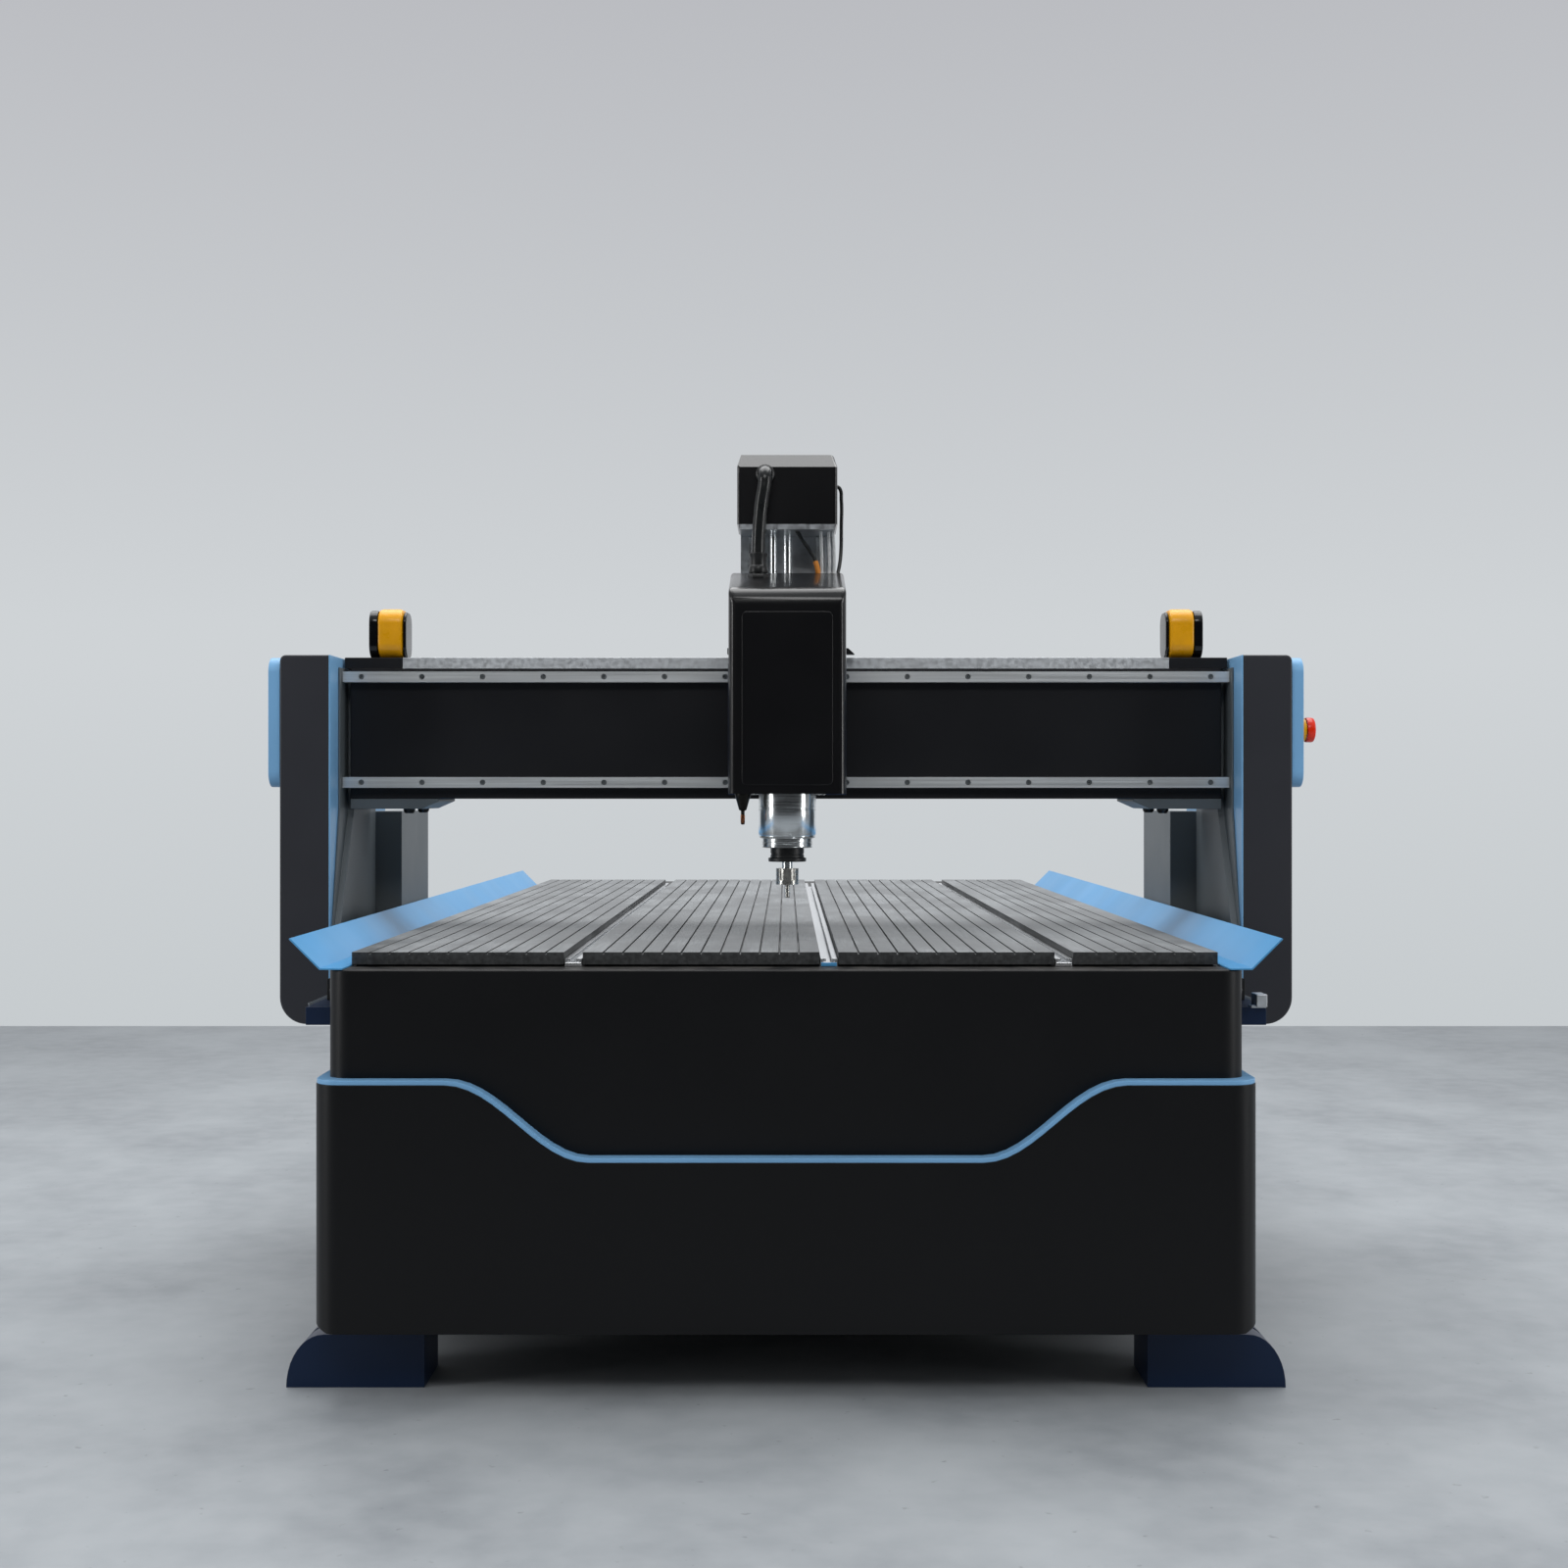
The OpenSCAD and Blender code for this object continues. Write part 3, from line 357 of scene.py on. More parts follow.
# One finish for each kind of surface, made once and shared
def finishes():
    paint = colours()
    return {
        "cover": powder_coat("black_powder_coat", paint.cover_black, 0.4, 0.08),
        "gantry": powder_coat("gantry_powder_coat", paint.gantry_black, 0.4),
        "head": lacquered("head_gloss_coat", paint.head_black, 0.3),
        # The column covers are black sheet like the beam; this lighter grey copy is a painted sheen,
        # standing in for the softboxes' reflection on their fronts
        "column": powder_coat("column_coat_with_painted_sheen", linear("#35363b"), 0.36, 0.02),
        # Lightened copy of the sky-blue paint: painted light on the pads, inner panels and trim
        "pad": powder_coat("pale_blue_coat_with_painted_light", paint.pad_blue_with_painted_light, 0.34, 0.02),
        "leg": powder_coat("leg_grey_paint", paint.leg_grey, 0.45),
        "blue": powder_coat("sky_blue_powder_coat", paint.sky_blue, 0.34, 0.03),
        "navy": powder_coat("navy_paint", paint.navy, 0.4),
        "frame": powder_coat("frame_primer", linear("#26292d"), 0.55, 0.2),
        "cabinet": powder_coat("cabinet_grey_paint", linear("#8f9498"), 0.4),
        "motor": powder_coat("motor_black_paint", linear("#1b1c1f"), 0.4),
        "rail_x": ground_steel("rail_steel_across", linear("#eceff0"), "X", 0.42),
        "rail_y": ground_steel("rail_steel_along", linear("#c9ced0"), "Y", 0.35),
        "rail_z": ground_steel("rail_steel_upright", linear("#e3e6e8"), "Z", 0.25),
        "gear": blackened_steel("gear_steel", linear("#6d7276")),
        "block": machined_alloy("bearing_block_steel", linear("#7b8184")),
        "plate": machined_alloy("milled_plate", linear("#b9bdc1")),
        "track": extruded_alloy("t_track_aluminium", linear("#f0f2f4")),
        "strip": machined_alloy("top_strip_alloy", linear("#d3d6d9"), 0.5),
        "board": worn_board("table_board", paint.board_grey),
        "underlay": moulded_plastic("underlay_sheet", linear("#1d1e1f"), 0.7),
        "spindle": turned_steel("spindle_steel", linear("#e4e8e9"), 0.18),
        "tool": blackened_steel("tool_steel", linear("#b4b2ac"), 0.3),
        "nozzle": blackened_steel("nozzle_steel", linear("#2c2b29")),
        "nozzle_tip": blackened_steel("nozzle_copper", linear("#7d4f36"), 0.3),
        "screw": blackened_steel("screw_steel", linear("#2d2f31"), 0.35),
        "rail_screw": blackened_steel("rail_screw_steel", linear("#8d9294"), 0.35),
        "lens": moulded_plastic("sensor_lens_plastic", linear("#0b0c0f"), 0.12, 0.02),
        "yellow": moulded_plastic("beacon_yellow_plastic", paint.beacon_yellow, 0.3),
        "red": moulded_plastic("stop_red_plastic", paint.stop_red, 0.25, 0.03),
        "black": moulded_plastic("black_plastic", linear("#0f1112"), 0.4),
        "hose": moulded_plastic("conduit_plastic", linear("#101314"), 0.28, 0.05),
        "sleeve": moulded_plastic("orange_sleeve", linear("#e08a1e"), 0.4),
        "rubber": soft_rubber("buffer_rubber", linear("#141415")),
        "air": clear_tube("air_tube"),
    }


FINISH = {}


# ---------- modelling helpers ----------
def start_fresh():
    """Leaves edit mode and deselects everything."""
    if bpy.context.object and bpy.context.object.mode != "OBJECT":
        bpy.ops.object.mode_set(mode="OBJECT")
    bpy.ops.object.select_all(action="DESELECT")


def take(piece):
    start_fresh()
    piece.select_set(True)
    bpy.context.view_layer.objects.active = piece


def edit(piece, domain="EDGE"):
    take(piece)
    bpy.ops.object.mode_set(mode="EDIT")
    bpy.ops.mesh.select_mode(type=domain)


def select_edges(piece, test):
    """In edit mode, selects the sharp outer edges whose two ends pass the test."""
    bpy.ops.mesh.select_all(action="DESELECT")
    cage = bmesh.from_edit_mesh(piece.data)
    for edge in cage.edges:
        sharp = edge.is_manifold and edge.calc_face_angle_signed() > SHARP
        edge.select = sharp and test(edge.verts[0].co, edge.verts[1].co)
    bmesh.update_edit_mesh(piece.data)


def select_faces(piece, test):
    """In edit mode, selects the faces whose middle and normal pass the test."""
    bpy.ops.mesh.select_all(action="DESELECT")
    cage = bmesh.from_edit_mesh(piece.data)
    for face in cage.faces:
        face.select = test(face.calc_center_median(), face.normal)
    bmesh.update_edit_mesh(piece.data)


def clean_copy(node, name):
    """A copy of a CAD node's mesh, with its loose triangles merged into whole faces."""
    start_fresh()
    mesh = frame["nodes"][node].data.copy()
    mesh.name = name
    mesh.materials.clear()
    piece = bpy.data.objects.new(name, mesh)
    bpy.context.scene.collection.objects.link(piece)
    edit(piece, "VERT")
    bpy.ops.mesh.customdata_custom_splitnormals_clear()
    bpy.ops.mesh.select_all(action="SELECT")
    bpy.ops.mesh.remove_doubles(threshold=MERGE)
    bpy.ops.mesh.dissolve_limited(angle_limit=math.radians(0.4))
    bpy.ops.object.mode_set(mode="OBJECT")
    return piece


def round_edges(piece, test, radius, segments=4):
    """Rounds the edges that pass the test."""
    edit(piece)
    select_edges(piece, test)
    bpy.ops.mesh.bevel(offset=radius, segments=segments, affect="EDGES", clamp_overlap=False)
    bpy.ops.object.mode_set(mode="OBJECT")


def bevelled(piece, width, segments=2, angle=40):
    """Rounds every remaining sharp edge by a small amount, then shades the piece."""
    take(piece)
    soft = piece.modifiers.new("Bevel", "BEVEL")
    soft.width = width
    soft.segments = segments
    soft.limit_method = "ANGLE"
    soft.angle_limit = math.radians(angle)
    soft.miter_outer = "MITER_ARC"
    bpy.ops.object.modifier_apply(modifier=soft.name)
    split = piece.modifiers.new("Triangulate", "TRIANGULATE")
    split.min_vertices = 5
    bpy.ops.object.modifier_apply(modifier=split.name)
    bpy.ops.object.shade_smooth_by_angle(angle=SMOOTH)
    # Wide faces keep their own normal, so that they look flat beside a rounded edge
    flat = piece.modifiers.new("Weighted", "WEIGHTED_NORMAL")
    flat.keep_sharp = True
    bpy.ops.object.modifier_apply(modifier=flat.name)
    return piece


def dress(piece, finish, body, slot, *nodes):
    """Gives a piece its material and body, and hides the CAD nodes that it stands for. The slot is not used.
    """
    piece.data.materials.clear()
    piece.data.materials.append(FINISH[finish])
    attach(piece, body)
    if nodes:
        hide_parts(*nodes)
    return piece


def softened(node, name, finish, width_mm, segments=2):
    """A CAD node with its edges rounded, standing for the node on the same body."""
    record = frame["record"]
    body = next(b for b, members in record["behaviour"]["bodies"].items() if node in members)
    slot = next(s["material_slot"] for s in record["subparts"] if s["node"] == node)
    piece = bevelled(clean_copy(node, name), width_mm * MM, segments)
    return dress(piece, finish, body, slot, node)


def folded(node, finish, width_mm, folds):
    """A sheet cover whose folds, (test, radius in mm), are rounded before its thin edges."""
    record = frame["record"]
    body = next(b for b, members in record["behaviour"]["bodies"].items() if node in members)
    slot = next(s["material_slot"] for s in record["subparts"] if s["node"] == node)
    piece = clean_copy(node, node + "_finished")
    for test, radius in folds:
        round_edges(piece, test, radius * MM, 5)
    return dress(bevelled(piece, width_mm * MM), finish, body, slot, node)


def box_piece(name, low, high, width_mm=1.0):
    """A small block between two corners, with its edges rounded."""
    start_fresh()
    low, high = Vector(low), Vector(high)
    bpy.ops.mesh.primitive_cube_add(size=1, location=(low + high) / 2)
    piece = bpy.context.object
    piece.name = name
    piece.scale = high - low
    bpy.ops.object.transform_apply(location=True, rotation=True, scale=True)
    return bevelled(piece, width_mm * MM, 3) if width_mm else piece


def turned(name, profile, centre, axis="Z", steps=48):
    """Spins a profile of (radius, height) points round an axis through centre."""
    start_fresh()
    spot = Vector(centre)
    corners = []
    for radius, height in profile:
        if axis == "Z":
            corners.append(spot + Vector((radius, 0, height)))
        elif axis == "X":
            corners.append(spot + Vector((height, 0, radius)))
        else:
            corners.append(spot + Vector((radius, height, 0)))
    mesh = bpy.data.meshes.new(name)
    mesh.from_pydata(corners, [(i, i + 1) for i in range(len(corners) - 1)], [])
    piece = bpy.data.objects.new(name, mesh)
    bpy.context.scene.collection.objects.link(piece)
    edit(piece, "VERT")
    bpy.ops.mesh.select_all(action="SELECT")
    turn_axis = {"X": (1, 0, 0), "Y": (0, 1, 0), "Z": (0, 0, 1)}[axis]
    bpy.ops.mesh.spin(steps=steps, angle=2 * math.pi, center=spot, axis=turn_axis)
    bpy.ops.mesh.select_all(action="SELECT")
    bpy.ops.mesh.remove_doubles(threshold=MERGE)
    bpy.ops.mesh.normals_make_consistent(inside=False)
    bpy.ops.object.mode_set(mode="OBJECT")
    take(piece)
    bpy.ops.object.shade_smooth_by_angle(angle=SMOOTH)
    return piece


def tube(name, route, diameter, sides=4):
    """A round tube along a smooth curve through the route's points."""
    start_fresh()
    path = bpy.data.curves.new(name, "CURVE")
    path.dimensions = "3D"
    path.resolution_u = 10
    path.bevel_depth = diameter / 2
    path.bevel_resolution = sides
    path.use_fill_caps = True
    spline = path.splines.new("BEZIER")
    spline.bezier_points.add(len(route) - 1)
    for knot, point in zip(spline.bezier_points, route):
        knot.co = point
        knot.handle_left_type = "AUTO"
        knot.handle_right_type = "AUTO"
    piece = bpy.data.objects.new(name, path)
    bpy.context.scene.collection.objects.link(piece)
    take(piece)
    bpy.ops.object.convert(target="MESH")
    piece = bpy.context.object
    piece.name = name
    bpy.ops.object.shade_smooth_by_angle(angle=SMOOTH)
    return piece


def socket_screw(name, place, axis, diameter):
    """A button-head screw with a socket, its head standing out along the axis."""
    r = diameter / 2
    profile = [
        (0, 0.1 * r), (0.42 * r, 0.1 * r), (0.46 * r, 0.75 * r), (0.7 * r, 0.72 * r),
        (0.93 * r, 0.45 * r), (r, 0.12 * r), (r, -0.05 * r), (0, -0.05 * r),
    ]
    letter = axis[-1]
    if axis[0] == "-":
        profile = [(radius, -height) for radius, height in profile]
    return turned(name, profile, place, letter, 20)


def screw_set(name, places, axis, body, slot, diameter=None):
    """Screws at several places, joined into one piece."""
    size = diameter or sizes().screw_d
    first = socket_screw(name, places[0], axis, size)
    home = Vector(places[0])
    copies = []
    for place in places[1:]:
        again = first.copy()
        again.data = first.data.copy()
        again.data.transform(Matrix.Translation(Vector(place) - home))
        bpy.context.scene.collection.objects.link(again)
        copies.append(again)
    take(first)
    for again in copies:
        again.select_set(True)
    if copies:
        bpy.ops.object.join()
    return dress(first, "screw", body, slot)


# ---------- work common to several pieces ----------
def finish_nodes(rows):
    """Softens each CAD node in rows of (node, finish, edge width in mm)."""
    for node, finish, width in rows:
        softened(node, node + "_finished", finish, width)


def middle(node):
    low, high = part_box(node)
    return (low + high) / 2


def mirrored(*places):
    """Each place in mm, and its twin across the middle of the machine, in metres."""
    both = [(side * x * MM, y * MM, z * MM) for x, y, z in places for side in (1, -1)]
    return both


def millimetres(points, shift=0.0):
    return [(x * MM + shift, y * MM, z * MM) for x, y, z in points]


class RouterStep:
    """What every step of the build has in common"""

    bl_options = {"REGISTER"}

    def execute(self, context):
        start_fresh()
        self.build()
        start_fresh()
        return {"FINISHED"}


# ---------- materials ----------
class ROUTER_OT_finishes(RouterStep, bpy.types.Operator):
    """Mixes the paints, metals and plastics that the pieces share"""

    bl_idname = "router.finishes"
    bl_label = "Finishes"

    def build(self):
        FINISH.update(finishes())


# ---------- bed ----------
class ROUTER_OT_bed_frame(RouterStep, bpy.types.Operator):
    """Softens the welded bed frame, its legs, its feet and the electrics under it"""

    bl_idname = "router.bed_frame"
    bl_label = "Bed frame and feet"

    def build(self):
        finish_nodes(
            (
                ("bed_side_beams", "frame", 2.0),
                ("bed_cross_members", "frame", 1.5),
                ("bed_legs", "frame", 2.0),
                ("bed_feet", "navy", 2.0),
                ("control_cabinet", "cabinet", 1.5),
                ("cable_gland", "black", 0.5),
            )
        )


class ROUTER_OT_bed_covers(RouterStep, bpy.types.Operator):
    """Folds the front, side and rear covers, with their blue trim line"""

    bl_idname = "router.bed_covers"
    bl_label = "Bed covers and trim"

    def build(self):
        edge = sizes().edge_r / MM
        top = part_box("front_upper_cover")[1].z - 0.5 * MM
        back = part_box("front_upper_cover")[1].y - 1.0 * MM
        folded(
            "front_upper_cover", "cover", SHEET_EDGE,
            [(lambda a, b: min(a.z, b.z) > top and min(a.y, b.y) < back, edge)],
        )
        folded("front_lower_cover", "cover", SHEET_EDGE, [])
        finish_nodes(
            (
                ("cover_trim", "pad", 1.5),
                ("side_panels", "cover", 0.8),
                ("rear_cover", "cover", 0.8),
            )
        )


class ROUTER_OT_access_panels(RouterStep, bpy.types.Operator):
    """Adds the service doors on the sides, with quarter-turn latches, and the louvres at the back"""

    bl_idname = "router.access_panels"
    bl_label = "Access panels and louvres"

    def build(self):
        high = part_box("side_panels")[1]
        for side, word in ((1, "right"), (-1, "left")):
            outer = side * high.x
            panels = []
            for y in (-1.03, 0.0, 1.03):
                corners = sorted((outer - side * MM, outer + side * 1.5 * MM))
                panels.append(
                    box_piece("door", (corners[0], y - 0.4, 0.175), (corners[1], y + 0.4, 0.455), 0.7)
                )
            doors = joined(panels, "service_doors_" + word)
            dress(doors, "cover", "bed", "black_sheet")
            spots = [
                (outer + side * 1.5 * MM, y + end * 0.365, z)
                for y in (-1.03, 0.0, 1.03)
                for end in (1, -1)
                for z in (0.2, 0.43)
            ]
            axis = "X" if side > 0 else "-X"
            screw_set("door_latches_" + word, spots, axis, "bed", "black_plastic", 22 * MM)
        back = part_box("rear_cover")[1].y
        slats = [self.louvre(x, z, back) for x in (-0.45, 0.45) for z in range(170, 450, 26)]
        dress(joined(slats, "rear_louvres"), "cover", "bed", "black_sheet")

    def louvre(self, x, z, back):
        """One pressed louvre hood, open at its foot."""
        hood = box_piece(
            "louvre", (x - 0.11, back - MM, z * MM), (x + 0.11, back + 6 * MM, (z + 14) * MM), 0.8
        )
        edit(hood, "VERT")
        select_faces(hood, lambda spot, normal: normal.z > 0.9)
        bpy.ops.transform.translate(value=(0, -2.2 * MM, 0))
        bpy.ops.object.mode_set(mode="OBJECT")
        return hood


def joined(parts, name):
    """Several parts as one piece."""
    take(parts[0])
    for part in parts[1:]:
        part.select_set(True)
    if len(parts) > 1:
        bpy.ops.object.join()
    parts[0].name = name
    return parts[0]


class ROUTER_OT_bed_rails(RouterStep, bpy.types.Operator):
    """Finishes the ledges, linear rails, racks and buffers that carry the gantry"""

    bl_idname = "router.bed_rails"
    bl_label = "Ledges, rails and racks"

    def build(self):
        finish_nodes(
            (
                ("rail_ledges", "navy", 1.0),
                ("y_rails", "rail_y", 0.8),
                ("y_racks", "gear", 0.2),
                ("y_end_stops", "rubber", 1.5),
            )
        )
        low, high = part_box("y_rails")
        centre = (high.x - low.x) / 2 - 11.5 * MM
        holes = [
            (side * centre, -1.53 + 0.12 * count, high.z)
            for side in (1, -1)
            for count in range(27)
        ]
        screw_set("y_rail_screws", holes, "Z", "bed", "gear_steel", 11 * MM)
        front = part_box("rail_ledges")[0].y
        switch = joined(
            [
                box_piece("switch", (0.785, front - 0.012, 0.631), (0.803, front + 0.03, 0.652), 1.5),
                box_piece("lug", (0.778, front - 0.004, 0.629), (0.803, front + 0.02, 0.633), 0.6),
            ],
            "home_switch",
        )
        dress(switch, "strip", "bed", "rail_steel")


# ---------- table ----------
class ROUTER_OT_table(RouterStep, bpy.types.Operator):
    """Finishes the grooved boards, the T-tracks, the seam under them and the blue chip guards"""

    bl_idname = "router.table"
    bl_label = "Table and chip guards"

    def build(self):
        finish_nodes(
            (
                ("table_boards", "board", 0.9),
                ("t_tracks", "track", 0.4),
                ("table_underlay", "underlay", 0.3),
                ("chip_guards", "blue", 0.8),
            )
        )
        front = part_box("t_tracks")[0].y
        ends = ((-353.5, 13, "track"), (71.5, 13, "blue"), (462, 13, "track"))
        for count, (x, half, finish) in enumerate(ends):
            low = ((x - half) * MM, front - 3 * MM, 0.7005)
            high = ((x + half) * MM, front + MM, 0.7065)
            cap = box_piece(f"track_end_{count + 1}", low, high, 0.8)
            dress(cap, finish, "bed", "track_aluminium")


# ---------- gantry ----------
class ROUTER_OT_gantry(RouterStep, bpy.types.Operator):
    """Finishes the beam, its rails, the legs and the drives at their feet"""

    bl_idname = "router.gantry"
    bl_label = "Gantry beam and legs"

    def build(self):
        finish_nodes(
            (
                ("gantry_beam", "gantry", 2.5),
                ("seat_plates", "leg", 1.5),
                ("leg_plates", "leg", 1.5),
                ("x_rails", "rail_x", 0.8),
                ("x_rail_screws", "rail_screw", 0.4),
                ("x_rack", "gear", 0.2),
                ("beam_top_strip", "strip", 1.0),
                ("motor_covers", "leg", 1.2),
                ("y_foot_plates", "leg", 1.5),
                ("y_bearing_blocks", "block", 1.0),
                ("y_motors", "motor", 1.5),
            )
        )
        seats = mirrored((752, -925, 957), (752, -765, 957))
        screw_set("seat_bolts", seats, "-Z", "gantry", "gear_steel", 24 * MM)


class ROUTER_OT_columns(RouterStep, bpy.types.Operator):
    """Folds the column covers with their soft edges, the blue panels inside and the blue side pads"""

    bl_idname = "router.columns"
    bl_label = "Columns"

    def build(self):
        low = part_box("column_covers")[0]
        front, inner = low.y + MM, 0.89

        def on_fold(a, b):
            return max(a.y, b.y) < front and max(abs(a.x), abs(b.x)) > inner

        folded("column_covers", "column", SHEET_EDGE, [(on_fold, 4)])
        finish_nodes((("column_inner_panels", "pad", 0.8), ("side_pads", "pad", 6.0)))


class ROUTER_OT_sensors(RouterStep, bpy.types.Operator):
    """Moulds the safety sensors on top of the beam"""

    bl_idname = "router.sensors"
    bl_label = "Safety sensors"

    def build(self):
        finish_nodes(
            (
                ("sensor_brackets", "gantry", 1.5),
                ("sensor_housings", "yellow", 8.0),
                ("sensor_lenses", "lens", 3.0),
            )
        )


class ROUTER_OT_stop(RouterStep, bpy.types.Operator):
    """Moulds the emergency stop and its collar"""

    bl_idname = "router.stop"
    bl_label = "Emergency stop"

    def build(self):
        low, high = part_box("estop_collar")
        centre = (high.x, (low.y + high.y) / 2, (low.z + high.z) / 2)
        ring = [
            (0, -9), (23, -9), (24.5, -8), (24.5, -4), (23, -2.5), (22.4, -2), (22.4, 4.6), (21.4, 5.6),
            (9, 5.6), (9, -8), (0, -8),
        ]
        collar = turned("stop_collar", [(r * MM, x * MM) for r, x in ring], centre, "X", 56)
        dress(collar, "yellow", "gantry", "yellow_plastic", "estop_collar")
        cap = [
            (0, -2), (8, -2), (8, 11), (22.7, 11), (22.9, 7.5), (23.7, 7), (24.2, 8.5), (24.3, 18),
            (23.2, 21.4), (20, 23.2), (12, 24), (0, 24.3),
        ]
        button = turned("stop_button", [(r * MM, x * MM) for r, x in cap], centre, "X", 56)
        dress(button, "red", "estop_button", "red_plastic", "estop_button")


# ---------- carriage ----------
class ROUTER_OT_carriage(RouterStep, bpy.types.Operator):
    """Finishes the carriage, its column plate, the vertical rails and the motor box"""

    bl_idname = "router.carriage"
    bl_label = "Carriage"

    def build(self):
        finish_nodes(
            (
                ("x_carriage_plate", "navy", 1.0),
                ("x_bearing_blocks", "block", 1.0),
                ("x_carriage_arm", "gantry", 1.0),
                ("x_motor", "motor", 1.5),
                ("z_column_plate", "plate", 1.0),
                ("z_rails", "rail_z", 0.8),
                ("z_motor", "motor", 1.5),
                ("z_ball_screw", "rail_z", 0.5),
                ("y_pinion_left", "gear", 0.3),
                ("y_pinion_right", "gear", 0.3),
                ("x_pinion", "gear", 0.3),
            )
        )
        low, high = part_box("z_motor_box")
        side = min(-low.x, high.x) - 6 * MM

        def on_side(a, b):
            return min(abs(a.x), abs(b.x)) > side and a.x * b.x > 0 and max(a.z, b.z) > low.z + MM

        folded("z_motor_box", "head", 1.0, [(on_side, 6)])
        axis = middle("spindle_shaft").x
        rod = turned(
            "guide_rod", [(0, 1.32), (0.006, 1.32), (0.006, 1.49), (0, 1.49)], (axis - 0.027, -1.07, 0)
        )
        dress(rod, "spindle", "x_carriage", "rail_steel")


# ---------- head ----------
class ROUTER_OT_head(RouterStep, bpy.types.Operator):
    """Folds the head cover and its front panel, and turns the spindle, its nose and its nozzle"""

    bl_idname = "router.head"
    bl_label = "Spindle head"

    def build(self):
        finish_nodes(
            (
                ("z_slide_plate", "plate", 1.0),
                ("z_bearing_blocks", "block", 1.0),
                ("z_ball_nut", "gear", 1.0),
                ("spindle_clamp", "motor", 2.0),
                ("air_nozzle", "nozzle", 0.5),
                ("spindle_shaft", "spindle", 0.4),
                ("collet_and_cutter", "tool", 0.3),
            )
        )
        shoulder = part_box("head_cover")[1].z - 0.105

        def on_shoulder(a, b):
            return min(a.z, b.z) > shoulder and min(abs(a.x), abs(b.x)) > 0.095 and a.x * b.x > 0

        folded("head_cover", "head", SHEET_EDGE, [(on_shoulder, 7)])
        self.front_panel()
        self.spindle()

    def front_panel(self):
        axis = middle("spindle_shaft").x
        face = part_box("head_cover")[0].y
        panel = box_piece(
            "head_panel", (axis - 0.083, face - 1.5 * MM, 1.003), (axis + 0.083, face + MM, 1.32), 0.0
        )
        round_edges(panel, lambda a, b: abs(a.y - b.y) > MM, 9 * MM, 5)
        bevelled(panel, 0.9 * MM, 3)
        dress(panel, "head", "z_head", "head_paint")

    def spindle(self):
        spot = middle("spindle_shaft")
        axis = (spot.x, spot.y, 0)
        housing = [
            (0, 1230), (50, 1230), (54, 1226), (54, 962), (53, 961), (53, 958), (54, 957),
            (54, 912), (53, 910), (53, 907), (51, 904.5), (48.4, 904), (48, 903.5), (48, 897),
            (47.2, 896), (47.2, 894), (48, 893), (48, 888), (46.5, 886.5), (44, 886), (0, 886),
        ]
        shell = turned("spindle_housing", [(r * MM, z * MM) for r, z in housing], axis, "Z", 96)
        dress(shell, "spindle", "z_head", "spindle_steel", "spindle_body")
        nose = [
            (0, 890), (31.5, 890), (31.5, 876), (30.5, 875), (30.5, 873), (31.5, 872), (31.5, 868),
            (33, 867), (34.6, 867), (35.5, 866), (35.5, 861), (34.6, 860), (24, 860), (22, 862), (0, 862),
        ]
        ring = turned("spindle_nose", [(r * MM, z * MM) for r, z in nose], axis, "Z", 72)
        dress(ring, "black", "z_head", "black_plastic")
        jet = middle("air_nozzle").x
        tip = [(0, 929.5), (1.6, 929.5), (3.9, 933), (4.1, 946), (3.6, 948), (0, 948)]
        brass = turned("nozzle_tip", [(r * MM, z * MM) for r, z in tip], (jet, -1.2, 0), "Z", 24)
        dress(brass, "nozzle_tip", "z_head", "nozzle_metal")


